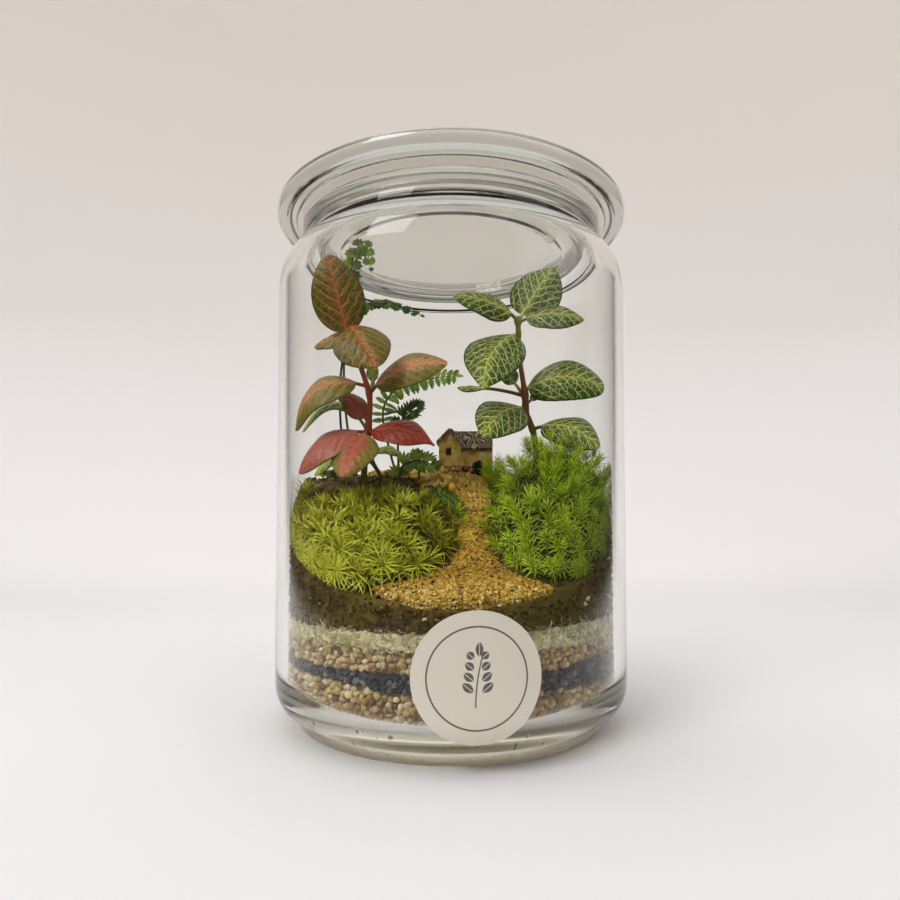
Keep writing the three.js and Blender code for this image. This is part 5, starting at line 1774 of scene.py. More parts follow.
@dataclass
class Cottage:
    """The small cast cottage: a gable wing in front and a wing to the right."""

    gable_half: float = 3.4
    gable_front: float = -5.0
    back: float = 4.6
    gable_top: float = 15.4
    wing_end: float = 13.6
    wing_front: float = -2.0
    ridge_y: float = 1.3
    ridge_top: float = 16.9
    roof_thickness: float = 1.1
    eave: float = 10.4
    wall_eave: float = 9.9
    overhang: float = 0.8
    gable_slopes: Pair = (0.88, 1.29)
    stone_pitch: float = 1.7
    stone_seed: int = 50
    tone_seed: int = 51
    voxel: float = 0.24
    window: tuple[float, float, float, float] = (-1.3, 0.6, 8.4, 10.6)
    door: tuple[float, float, float, float] = (7.8, 10.4, 0.8, 6.2)
    finish: CottageFinish = CottageFinish(
        "cottage_paint",
        walls=shades(
            (0.3, 160, 102, 22), (0.42, 236, 186, 76), (0.54, 253, 222, 124), (0.68, 255, 242, 184)
        ),
        roof=shades((0.15, 48, 32, 20), (0.45, 98, 76, 56), (0.75, 170, 150, 124), (0.95, 214, 200, 174)),
        stones=shades((0.1, 50, 25, 10), (0.3, 112, 64, 28), (0.6, 182, 126, 72), (0.9, 226, 184, 126)),
        # painted shade under the eaves
        soot=srgb(92, 50, 20),
        opening=srgb(24, 19, 15),
    )

    def _block(self, low: Point, high: Point) -> bpy.types.Object:
        """A cube primitive between two corners."""
        deselect_all()
        middle = [(a + b) / 2 * MM for a, b in zip(low, high)]
        size = [(b - a) * MM for a, b in zip(low, high)]
        bpy.ops.mesh.primitive_cube_add(size=1, location=middle, scale=size)
        bpy.ops.object.transform_apply(location=True, rotation=True, scale=True)
        return bpy.context.object

    def _cut(self, block: bpy.types.Object, place: Point, normal: Point) -> None:
        """Bisects a block and throws away the part that the normal points to."""
        deselect_all()
        block.select_set(True)
        bpy.context.view_layer.objects.active = block
        bpy.ops.object.mode_set(mode="EDIT")
        bpy.ops.mesh.select_all(action="SELECT")
        spot = [c * MM for c in place]
        bpy.ops.mesh.bisect(plane_co=spot, plane_no=normal, use_fill=True, clear_outer=True)
        bpy.ops.object.mode_set(mode="OBJECT")

    def _slope(self, low: Point, high: Point, across: Pair, along_x: bool) -> bpy.types.Object:
        """One slab of roof between an eave and a ridge line.

        Args:
            low: A point on the slab's middle at the eave.
            high: The matching point at the ridge.
            across: Where the slab starts and ends along the ridge.
            along_x: True where the ridge runs along X, else it runs along Y.

        Returns:
            The slab.
        """
        deselect_all()
        run = (high[1] - low[1]) if along_x else (high[0] - low[0])
        rise = high[2] - low[2]
        length = math.hypot(run, rise)
        width = across[1] - across[0]
        middle = [(a + b) / 2 for a, b in zip(low, high)]
        middle[0 if along_x else 1] = sum(across) / 2
        pitch = math.atan2(rise, run)
        sides = (width, length) if along_x else (length, width)
        turn = (pitch, 0, 0) if along_x else (0, -pitch, 0)
        place, size = ([c * MM for c in values] for values in (middle, (*sides, self.roof_thickness)))
        bpy.ops.mesh.primitive_cube_add(size=1, location=place, rotation=turn, scale=size)
        bpy.ops.object.transform_apply(location=True, rotation=True, scale=True)
        return bpy.context.object

    def _walls(self) -> list[bpy.types.Object]:
        """The gable wing with its pointed wall, and the wing behind it."""
        peak, crest = self.gable_top + 0.4, self.ridge_top - 0.6
        gable = self._block((-self.gable_half, self.gable_front, 0), (self.gable_half, self.back, peak))
        self._cut(gable, (0, 0, peak), (-0.76, 0, 1))
        self._cut(gable, (0, 0, peak), (1.1, 0, 1))
        wing = self._block((0, self.wing_front, 0), (self.wing_end, self.back, crest))
        rise = self.ridge_top - self.wall_eave
        self._cut(wing, (0, self.ridge_y, crest), (0, -rise / (self.ridge_y - self.wing_front + 1), 1))
        self._cut(wing, (0, self.ridge_y, crest), (0, rise / (self.back + 1 - self.ridge_y), 1))
        return [gable, wing]

    def _roofs(self) -> list[bpy.types.Object]:
        """Four slabs: two over the gable wing and two over the other."""
        span = (self.gable_front - 0.85, self.back + 0.45)
        half = self.roof_thickness / 2
        ridge = (0.2, 0.0, self.gable_top + 1.5 - half)
        wing_span = (0.8, self.wing_end - 0.1)
        wing_ridge = (0.0, self.ridge_y, self.ridge_top - half)
        return [
            self._slope((-3.9, 0.0, 12.25), ridge, span, False),
            self._slope((3.95, 0.0, 10.5), ridge, span, False),
            self._slope((0.0, self.wing_front - self.overhang, self.eave), wing_ridge, wing_span, True),
            self._slope((0.0, self.back + self.overhang, self.eave), wing_ridge, wing_span, True),
        ]

    def _stone_places(self) -> Array:
        """The middles of the plinth's stones, in three courses on each front wall."""
        gable, wing = self.gable_front, self.wing_front
        places = []
        for start, end, y in ((-3.0, 3.3, gable), (4.2, 7.0, wing), (11.2, 13.4, wing)):
            for level, shift in ((1.3, 0.4), (2.8, 0.0), (4.2, 0.8)):
                count = int((end - start - shift) / self.stone_pitch) + 1
                places += [(start + shift + self.stone_pitch * k, y, level) for k in range(count)]
        places = np.array(places)
        places[:, (0, 2)] += np.random.default_rng(self.stone_seed).normal(0, 0.14, (len(places), 2))
        return places

    def _stone_tone(self, x: Array, z: Array) -> Array:
        """How light the plinth is: each stone its own tone, dark in the joints."""
        places = self._stone_places()
        away = np.hypot(x[:, None] - places[:, 0], (z[:, None] - places[:, 2]) * 1.15)
        tones = np.random.default_rng(self.tone_seed).uniform(0, 1, len(places))
        own = tones[np.argmin(away, axis=1)]
        return (0.4 + 0.55 * own) * smoothstep(away.min(axis=1), 1.05, 0.55)

    def _plinth(self) -> list[bpy.types.Object]:
        """The rounded stones along the foot of both front walls."""
        stones = []
        for k, place in enumerate(self._stone_places()):
            stone = lump(12, 8, 0.4, 40 + k)
            stone.points = stone.points * (0.95, 0.75, 0.8) + place
            stones.append(stone.piece("plinth_stone"))
        return stones

    def _door_frame(self) -> list[bpy.types.Object]:
        """Small stones that stand in an arch round the door."""
        left, right, low, high = self.door
        middle, half = (left + right) / 2, (right - left) / 2 + 0.35
        steps = 8
        settings = []
        for k in range(steps + 1):
            turn = math.pi * k / steps
            height = high - half + 0.2 + half * max(0.0, math.sin(turn))
            settings.append((90 + k, middle - half * math.cos(turn), height, 0.42))
        for hand in (-1, 1):
            for height in (low + 0.5, low + 1.4, low + 2.2):
                settings.append((int(50 * height) + hand, middle + hand * half, height, 0.5))
        stones = []
        for seed, x, height, tall in settings:
            stone = lump(8, 6, 0.4, seed)
            stone.points = stone.points * (0.42, 0.4, tall) + (x, self.wing_front, height)
            stones.append(stone.piece("door_stone"))
        return stones

    def _roof_height(self, x: Array, y: Array, z: Array) -> Array:
        """How far a point stands above the roofs' undersides, most in the slabs."""
        ridge_low = self.gable_top + 1.5 - self.roof_thickness * 1.35
        left, right = self.gable_slopes
        under = np.where(x < 0.2, ridge_low - (0.2 - x) * left, ridge_low - (x - 0.2) * right)
        gable = np.where(x < 4.6, z - under, -1.0)
        climb = self.ridge_top - 0.6 - self.eave
        rise = climb / (self.ridge_y - self.wing_front + self.overhang)
        back_rise = climb / (self.back + self.overhang - self.ridge_y)
        run = np.where(y < self.ridge_y, (self.ridge_y - y) * rise, (y - self.ridge_y) * back_rise)
        under_eave = (x > 0.6) & (y > self.wing_front - 1.35)
        wing = np.where(under_eave, z - (self.ridge_top - self.roof_thickness * 1.55 - run), -1.0)
        return np.maximum(gable, wing)

    def _openings(self, points: Array, normals: Array) -> Array:
        """Where the front walls are the gable's window or the wing's round-topped door."""
        x, y, z = points.T
        left, right, low, high = self.window
        window = (x > left) & (x < right) & (z > low) & (z < high)
        window &= (normals[:, 1] < -0.6) & (y < self.gable_front + 0.6)
        left, right, low, high = self.door
        middle, half = (left + right) / 2, (right - left) / 2
        rounded = high - half + np.sqrt(np.maximum(half**2 - (x - middle) ** 2, 0))
        door = (np.abs(x - middle) < half - 0.12) & (z > low) & (z < rounded)
        door &= (normals[:, 1] < -0.5) & (y < self.wing_front + 0.4)
        return window | door

    def make(self) -> None:
        """Builds and dresses the cottage."""
        parts = [*self._walls(), *self._roofs(), *self._plinth(), *self._door_frame()]
        whole = join_objects("cast_cottage", parts)
        cast = {"mode": "VOXEL", "voxel_size": self.voxel * MM, "use_smooth_shade": True}
        apply_modifier(whole, "REMESH", cast)
        apply_modifier(whole, "SMOOTH", {"factor": 0.6, "iterations": 2})
        mesh = whole.data
        points, normals = rows_of(mesh.vertices, "co") / MM, rows_of(mesh.vertex_normals, "vector")
        x, y, z = points.T
        above = self._roof_height(x, y, z)
        roof = smoothstep(above, -0.05, 0.2)
        run = np.where(np.abs(normals[:, 0]) > np.abs(normals[:, 1]), y, x)
        swirl = np.array([noise.noise(Vector(p) * 0.32) for p in points])
        strand = 0.5 + 0.5 * np.sin(2 * np.pi * (run + 2.2 * swirl + 0.12 * z))
        plinth = (z < 5.2) & (y < np.where(x < 3.6, self.gable_front, self.wing_front) - 0.04)
        arch = (y < self.wing_front - 0.06) & (x > 7.1) & (z < 7.4)
        opening = self._openings(points, normals)
        values = {
            "roof": roof * (1 - plinth),
            "strand": strand,
            # painted shade under the eaves, strongest just below the roof
            "soot": smoothstep(above, -1.7, -0.1),
            "stone": self._stone_tone(x, z),
            "plinth": (plinth | arch).astype(float),
            "opening": opening.astype(float),
        }
        points = points + normals * (0.2 * roof * (strand - 0.5))[:, None]
        points[:, 1] += np.where(opening, 0.75, 0.0)
        points = points + np.array([HOUSE_PLACE])
        mesh.vertices.foreach_set("co", (points * MM).ravel())
        keep_values(mesh, values)
        add_piece(whole, self.finish.material(), "house_resin", "house")


# Plants


def smooth_path(points: Sequence[Point], steps: int) -> Array:
    """Even steps along a smooth curve through points.

    Args:
        points: What the curve runs through.
        steps: How many steps, one less than the points that come back.

    Returns:
        One row of x, y and z for each end of a step.
    """
    knots = np.array(points, dtype=float)
    ends = np.concatenate([[2 * knots[0] - knots[1]], knots, [2 * knots[-1] - knots[-2]]])
    spans = np.sqrt(np.linalg.norm(np.diff(ends, axis=0), axis=1))
    t = np.linspace(0, 1, 24, endpoint=False)[:, None]
    line = []
    for k in range(len(knots) - 1):
        before, start, end, after = ends[k : k + 4]
        first, middle, last = spans[k : k + 3]
        leave = (start - before) / first - (end - before) / (first + middle) + (end - start) / middle
        arrive = (end - start) / middle - (after - start) / (middle + last) + (after - end) / last
        line.append(
            start * (2 * t**3 - 3 * t**2 + 1)
            + leave * middle * (t**3 - 2 * t**2 + t)
            + end * (3 * t**2 - 2 * t**3)
            + arrive * middle * (t**3 - t**2)
        )
    curve = np.concatenate([*line, knots[-1:]])
    length = np.append(0, np.cumsum(np.linalg.norm(np.diff(curve, axis=0), axis=1)))
    even = np.linspace(0, length[-1], steps + 1)
    return np.stack([np.interp(even, length, curve[:, axis]) for axis in range(3)], -1)


def rod(path: Array, radii: Array, resolution: int = 3) -> Shape:
    """A closed round rod along a path, from a curve with a bevel.

    Args:
        path: Rows of x, y and z.
        radii: The radius at each of them.
        resolution: Fineness of the round.

    Returns:
        The rod.
    """
    deselect_all()
    curve = bpy.data.curves.new("rod", "CURVE")
    curve.dimensions = "3D"
    curve.bevel_depth = 1.0
    curve.bevel_resolution = resolution
    curve.use_fill_caps = True
    spline = curve.splines.new("POLY")
    spline.points.add(len(path) - 1)
    spline.points.foreach_set("co", np.column_stack([path, np.ones(len(path))]).ravel())
    spline.points.foreach_set("radius", radii)
    piece = bpy.data.objects.new("rod", curve)
    bpy.context.scene.collection.objects.link(piece)
    piece.select_set(True)
    bpy.context.view_layer.objects.active = piece
    bpy.ops.object.convert(target="MESH")
    return Shape.of(bpy.context.object)


def blade(
    rows: int,
    columns: int,
    place: Callable[[Array, Array], Array],
    thickness: float,
) -> Shape:
    """A thin leaf blade from a grid primitive, given its thickness by Solidify.

    Args:
        rows: Steps along the blade.
        columns: Steps across it.
        place: Gives points for places along, 0 to 1, and across, -1 to 1.
        thickness: How thick it is.

    Returns:
        The closed blade, with the values "along" and "across" kept for each point.
    """
    deselect_all()
    bpy.ops.mesh.primitive_grid_add(x_subdivisions=rows, y_subdivisions=columns, size=1)
    grid = bpy.context.object
    x, y, _ = rows_of(grid.data.vertices, "co").T
    along, across = np.clip(x + 0.5, 0, 1), np.clip(y * 2, -1, 1)
    grid.data.vertices.foreach_set("co", place(along, across).ravel())
    grid.data.update()
    apply_modifier(grid, "SOLIDIFY", {"thickness": thickness, "offset": 0.0, "use_even_offset": False})
    shape = Shape.of(grid)
    shape.values = {"along": np.tile(along, 2), "across": np.tile(across, 2)}
    return shape


@dataclass(frozen=True)
class Leaf:
    """One leaf: where its stalk starts, where its tip is, and which way it faces."""

    start: Point
    tip: Point
    face: Point
    width: float
    arch: float = 1.5
    bow: float = 0.0
    stalk: float = 0.14
    flush: float = 0.0
    bluntness: float = 0.64
    thickness: float = 0.42
    stalk_radius: float = 0.56

    def frame(self) -> tuple[Array, Array, Array, Array]:
        """The stalk's start, the long axis, the way up from the face, and the side."""
        start, tip, face = (np.array(v, dtype=float) for v in (self.start, self.tip, self.face))
        axis = tip - start
        unit = axis / np.linalg.norm(axis)
        normal = face - unit * face.dot(unit)
        normal /= np.linalg.norm(normal)
        side = np.cross(normal, axis)
        return start, axis, normal, side / np.linalg.norm(side)

    def oval(self, t: Array) -> Array:
        """Half the width along the leaf, as a share of the widest."""
        along = np.clip((t - self.stalk) / (1 - self.stalk), 0, 1)
        return np.sin(np.pi * along**0.8) ** np.interp(along, [0.4, 0.9], [0.64, self.bluntness])

    def _half(self, oval: Array) -> Array:
        """Half the width, never less than the stalk's."""
        return np.maximum(0.3, 0.5 * self.width * oval)

    def points(self, t: Array, s: Array, lift: float = 0.0) -> Array:
        """Points of the blade, arched, quilted and rippled, lifted off it by a distance."""
        start, axis, normal, side = self.frame()
        length = np.linalg.norm(axis)
        oval = self.oval(t)
        half = self._half(oval)
        out = np.abs(s) * half
        vein = (t * length - VEIN_SLANT * out - VEIN_CURL * out * out) / VEIN_PITCH + 0.5 * (s > 0)
        pillow = np.abs(vein % 1 - 0.5) * 2
        quilt = 0.32 * oval * (pillow**0.7 - 0.5) * smoothstep(np.abs(s), 0.02, 0.2) * (1 - s**4)
        groove = -0.4 * oval * np.exp(-((out / 0.9) ** 2))
        drop = 0.16 * self.width * s * s * oval
        ripple = 0.35 * s * s * np.sin(9 * t + 2 * s) * oval
        edge = 1 + 0.006 * np.sin(2 * np.pi * vein) * s * s
        rise = self.arch * 4 * t * (1 - t) - drop + ripple + quilt + groove + lift
        return (
            start
            + axis * t[:, None]
            + side * (half * s * edge + self.bow * 4 * t * (1 - t))[:, None]
            + normal * rise[:, None]
        )

    def make(self, index: int) -> Shape:
        """The leaf's blade, with the values that its finish reads."""
        shape = blade(46, 26, self.points, self.thickness)
        length = np.linalg.norm(self.frame()[1])
        t, s = shape.values["along"], shape.values["across"]
        shape.values |= {
            "run": (t * length + 27.0 * index) / CM,
            "side": s * self._half(self.oval(t)) / CM,
            "flush": np.full(len(t), self.flush),
        }
        return shape

    def stalk_rod(self) -> Shape:
        """The stalk, which goes on as the raised rib under the blade."""
        t = np.linspace(0.0, 0.8, 18)
        path = self.points(t, np.zeros_like(t), -0.28)
        share = np.interp(t, [0, self.stalk + 0.05, 0.8], [1.0, 0.72, 0.2])
        return rod(path, self.stalk_radius * share, 2)


@dataclass
class NervePlant:
    """A nerve plant: a rooted stem with swollen nodes, and veined leaves on stalks."""

    name: str
    node: str
    slot: str
    root: Pair
    stem: tuple[Point, ...]
    radii: tuple[float, ...]
    leaves: tuple[Leaf, ...]
    leaf_finish: LeafFinish
    stem_finish: StemFinish
    depth: float = 6.6
    stem_steps: int = 90

    def make(self) -> None:
        """Builds and dresses the leaves and the stem."""
        blades = Shape.joined([leaf.make(index) for index, leaf in enumerate(self.leaves)])
        blades.points = inside_glass(blades.points)
        leaves = blades.piece(f"{self.name}_leaves", 80)
        add_piece(leaves, self.leaf_finish.material(), self.slot, self.node)
        path = smooth_path(rooted(self.stem, self.root, self.depth), self.stem_steps)
        places = np.linspace(0, 1, len(path))
        radii = np.interp(places, np.linspace(0, 1, len(self.radii)), self.radii)
        for leaf in self.leaves:
            distance = np.linalg.norm(path - np.array(leaf.start), axis=1)
            radii = radii + 0.28 * np.exp(-((distance / 1.1) ** 2))
        radii = 0.82 * np.minimum(radii, 1.5)
        radii[0] *= 0.6
        stems = Shape.joined([rod(path, radii, 4), *(leaf.stalk_rod() for leaf in self.leaves)])
        stems.points = inside_glass(stems.points)
        add_piece(stems.piece(f"{self.name}_stem", 60), self.stem_finish.material(), self.slot, self.node)


def rooted(path: Sequence[Point], root: Pair, depth: float) -> list[Point]:
    """A path that ends with a straight root in its hole in the soil."""
    ground = float(ground_height(np.array(root[0]), np.array(root[1])))
    return [*path, (*root, ground + 1.5), (*root, ground - depth)]


RED_LEAVES = (
    Leaf((-27.6, -21, 106), (-32.4, -24.5, 127.4), (0.05, -1, 0.1), 13.6, stalk=0.06, flush=0.05),
    Leaf((-26.6, -21.6, 109), (-19, -28.5, 96.2), (0.2, -1, 0.25), 15, 1, stalk=0.02, flush=0.2),
    Leaf((-27.5, -21, 106.2), (-37, -18, 104.2), (0, -0.75, 0.65), 6.6, 1, flush=0.36),
    Leaf((-23.4, -14.6, 94.2), (-43.4, -13.5, 81.8), (-0.3, -0.72, 0.62), 12.8, 5.6, -3.6, 0.1, 0.5),
    Leaf((-22.9, -14.4, 91.8), (-1, -19.5, 99.4), (0.05, -0.8, 0.6), 12.6, 3.2, 1.6, flush=0.52),
    Leaf((-23.4, -10.6, 84.4), (-31.2, -8.6, 93.2), (0.1, -0.9, 0.3), 6.4, flush=0.86),
    Leaf((-23.7, -9.6, 82), (-41.6, -15.5, 69.6), (-0.35, -0.68, 0.64), 12.8, 4.6, flush=0.9),
    Leaf((-23.7, -10, 82.2), (-28.4, -23.5, 68.2), (-0.1, -0.8, 0.6), 12.4, 2, flush=0.64),
    Leaf((-23.7, -10, 81.6), (-4.6, -14.5, 77.4), (0.1, -0.75, 0.65), 10.8, 3.6, 0.8, 0.08, 1, 1.15),
)
YOUNG_LEAVES = (
    Leaf((-25.4, 0.6, 84), (-43.6, -6, 82.4), (-0.15, -0.4, 0.9), 9, 8.5),
    Leaf((-24.3, 2.2, 74.6), (-41, -1.5, 70), (-0.1, -0.6, 0.8), 5.6, 4.4, stalk=0.5),
    Leaf((-24.4, 1.8, 76.4), (-15, 3.6, 76), (0.1, -0.6, 0.8), 4.6, 2.6),
    Leaf((-23.6, -0.6, 97.6), (-23.4, -3.4, 103.4), (0.1, -0.9, 0.4), 3.6, 0.6),
)
PALE_LEAVES = (
    Leaf((19.5, -9, 114.2), (30, -6.5, 130.6), (-0.1, -0.9, 0.4), 15, stalk=0.1),
    Leaf((19.3, -9, 114.4), (0.8, -14, 119.8), (-0.1, -0.78, 0.62), 11.6, 2.4),
    Leaf((19.4, -9, 113.8), (37.4, -13, 113.2), (0, -0.8, 0.6), 10.6, 2.2, 0.8),
    Leaf((19.4, -9, 110.4), (8.4, -23.5, 91.4), (-0.1, -0.95, 0.4), 16.2, 2.4, -2.6, 0.08, bluntness=0.9),
    Leaf((21.3, -7.2, 94.4), (43, -13.2, 94), (0.1, -0.92, 0.4), 14.2, 2.4, 2.6, 0.06, bluntness=0.46),
    Leaf((21.8, -6.2, 89.2), (8.6, -20, 79.4), (-0.1, -0.95, 0.4), 14, 2.4, -1.8, 0.1),
    Leaf((23.9, -4.8, 83.4), (40.6, -16, 76.6), (0.15, -0.85, 0.5), 12.6, 2.8, 2.4),
    Leaf((21.2, -7, 92.6), (15.8, -2.5, 101.6), (-0.3, -0.9, 0.2), 5, stalk=0.4),
    Leaf((21.2, -6.8, 93), (2, -2.5, 96), (0, -0.5, 0.85), 5, 1, stalk=0.6),
    Leaf((22, -6, 90.6), (26.6, -4, 94.6), (0.2, -0.9, 0.3), 2.4, 0.4, stalk=0.3),
    Leaf((22.3, -5.8, 85.6), (7, -3.5, 81.4), (-0.1, -0.6, 0.8), 6, 2.6, stalk=0.35),
)
RED_STEM = (
    (-27.6, -21, 106.9),
    (-25.8, -20, 102.6),
    (-24.5, -18, 98.4),
    (-22.7, -14, 91.1),
    (-23.6, -10, 82.3),
    (-25.1, -6, 74),
)
YOUNG_STEM = ((-23.4, -0.5, 99), (-24.4, -0.5, 93), (-25.4, 0.5, 84), (-24.4, 2, 75.3))
PALE_STEM = (
    (19.3, -9, 115.4),
    (19.4, -9, 110.6),
    (19.8, -8, 104.1),
    (21.4, -7, 93.5),
    (22, -6, 87.8),
    (24.1, -4.6, 82.7),
    (25.2, -2.6, 77.6),
)
STOUT_RADII = (0.8, 0.85, 0.95, 1.1, 1.2, 1.2)
SLIM_RADII = (0.5, 0.6, 0.8, 0.8)


def nerve_plants() -> list[NervePlant]:
    """The red-veined plant, its young light-green companion, and the white-veined one."""
    red_leaf = LeafFinish(
        "red_veined_leaf",
        blade=srgb(100, 108, 18),
        shade=srgb(74, 84, 10),
        vein=srgb(204, 104, 72),
        heart=srgb(134, 98, 28),
        rim=srgb(70, 84, 18),
        side_vein=0.09,
        net_vein=0.02,
        net_cell=1.9,
        net_strength=0.42,
        blur=0.16,
        flushed_edge=srgb(112, 116, 34),
        flush_stops=RED_FLUSH,
    )
    young_leaf = LeafFinish(
        "young_leaf",
        blade=srgb(142, 164, 46),
        shade=srgb(100, 126, 28),
        vein=srgb(206, 212, 120),
        heart=srgb(168, 182, 64),
        rim=srgb(128, 150, 44),
        side_vein=0.1,
        net_vein=0.04,
        net_cell=1.4,
        net_strength=0.8,
        blur=0.12,
    )
    pale_leaf = LeafFinish(
        "white_veined_leaf",
        blade=srgb(74, 108, 10),
        shade=srgb(42, 74, 6),
        vein=srgb(214, 208, 136),
        heart=srgb(122, 144, 20),
        rim=srgb(28, 56, 6),
        side_vein=0.1,
        net_vein=0.018,
        net_cell=1.9,
        net_strength=0.85,
        blur=0.1,
    )
    red_shades = shades(
        (0.0, 98, 106, 24),
        (0.3, 124, 88, 28),
        (0.55, 158, 70, 36),
        (0.8, 168, 84, 52),
        (1.0, 140, 104, 44),
    )
    young_shades = shades((0.0, 110, 120, 30), (1.0, 140, 156, 48))
    pale_shades = shades(
        (0.0, 104, 124, 28),
        (0.3, 118, 104, 34),
        (0.55, 140, 80, 36),
        (0.75, 134, 104, 40),
        (1.0, 118, 140, 36),
    )
    return [
        NervePlant(
            "red_nerve_plant",
            "fittonia_red",
            "leaf_red",
            root=(-25.7, -3),
            stem=RED_STEM,
            radii=STOUT_RADII,
            leaves=RED_LEAVES,
            leaf_finish=red_leaf,
            stem_finish=StemFinish("red_plant_stem", red_shades, low=62.0, high=108.0),
        ),
        NervePlant(
            "young_nerve_plant",
            "fittonia_young",
            "leaf_light",
            root=(-21.6, 4),
            stem=YOUNG_STEM,
            radii=SLIM_RADII,
            leaves=YOUNG_LEAVES,
            leaf_finish=young_leaf,
            stem_finish=StemFinish("young_plant_stem", young_shades, low=64.0, high=100.0),
        ),
        NervePlant(
            "white_nerve_plant",
            "fittonia_white",
            "leaf_green",
            root=(25.6, -1.6),
            stem=PALE_STEM,
            radii=STOUT_RADII,
            leaves=PALE_LEAVES,
            leaf_finish=pale_leaf,
            stem_finish=StemFinish("white_plant_stem", pale_shades, low=62.0, high=118.0),
        ),
    ]


class LeafletForm(Enum):
    """Outlines of a fern's leaflets."""

    COMB = "comb"
    FAN = "fan"
    PARSLEY = "parsley"


LOBES = 5
CUTS = {LeafletForm.FAN: 0.3, LeafletForm.PARSLEY: 0.52}
HALF_TURNS = {LeafletForm.FAN: math.radians(78), LeafletForm.PARSLEY: math.radians(50)}
LEAFLET_GRIDS = {LeafletForm.COMB: (22, 4), LeafletForm.FAN: (6, 26), LeafletForm.PARSLEY: (7, 30)}
LEAFLET_THICKNESS = 0.26


def leaflet(form: LeafletForm, length: float, breadth: float, bend: float) -> Shape:
    """One leaflet, lying flat: its length along X, its breadth along Y, facing +Z.

    Args:
        form: Which outline it has.
        length: From its foot to its farthest edge.
        breadth: From side to side.
        bend: How far its tip bends down, as a share of the length.

    Returns:
        The closed leaflet with the value "rib", 1 at its veins.
    """

    def comb(along: Array, across: Array) -> tuple[Array, Array]:
        """A narrow leaflet with a blunt tip and small teeth along both sides."""
        half = 0.5 * breadth * np.minimum(1.0, 0.35 + 2.4 * along) * (1 - 0.7 * along**5)
        teeth = 1 - 0.2 * (5 * along % 1)
        return length * along * (1 - 0.1 * across**2), half * teeth * across

    def fan(along: Array, across: Array) -> tuple[Array, Array]:
        """A fan cut into lobes, each with small teeth."""
        turn = across * HALF_TURNS[form]
        wave = np.abs(np.cos(0.5 * np.pi * LOBES * across))
        teeth = np.abs(np.cos(1.5 * np.pi * LOBES * across))
        notch = 1 - CUTS[form] * (1 - wave**0.8) * along**1.5 - 0.08 * (1 - teeth) * along**4
        reach = length * (0.04 + 0.96 * along) * (0.62 + 0.38 * np.cos(turn)) * notch
        return reach * np.cos(turn), reach * np.sin(turn) * breadth / length

    def place(along: Array, across: Array) -> Array:
        """Places along and across as points of the chosen outline."""
        x, y = comb(along, across) if form is LeafletForm.COMB else fan(along, across)
        fold = 0.16 * np.abs(y) - bend * length * along**2
        return np.stack([x, y, fold + 0.05 * length * np.sin(5 * along + 3 * across) * along], -1)

    shape = blade(*LEAFLET_GRIDS[form], place, LEAFLET_THICKNESS)
    across = shape.values["across"]
    rib = np.exp(-((across / 0.12) ** 2))
    if form is not LeafletForm.COMB:
        rib = np.maximum(rib, 0.6 * np.abs(np.cos(0.5 * np.pi * LOBES * across)) ** 8)
    shape.values = {"rib": rib}
    return shape


@dataclass(frozen=True)
class Rib:
    """A frond's rib: its points, the way it runs at each, and the way the frond faces."""

    path: Array
    tangents: Array
    outward: Array

    @classmethod
    def along(cls, path: Array, face: Point) -> Rib:
        """The rib of a path whose frond faces one way."""
        tangents = np.gradient(path, axis=0)
        tangents /= np.linalg.norm(tangents, axis=1, keepdims=True)
        outward = np.array(face, dtype=float)
        return cls(path, tangents, outward / np.linalg.norm(outward))

    def length(self) -> float:
        """The rib's length."""
        return np.linalg.norm(np.diff(self.path, axis=0), axis=1).sum()


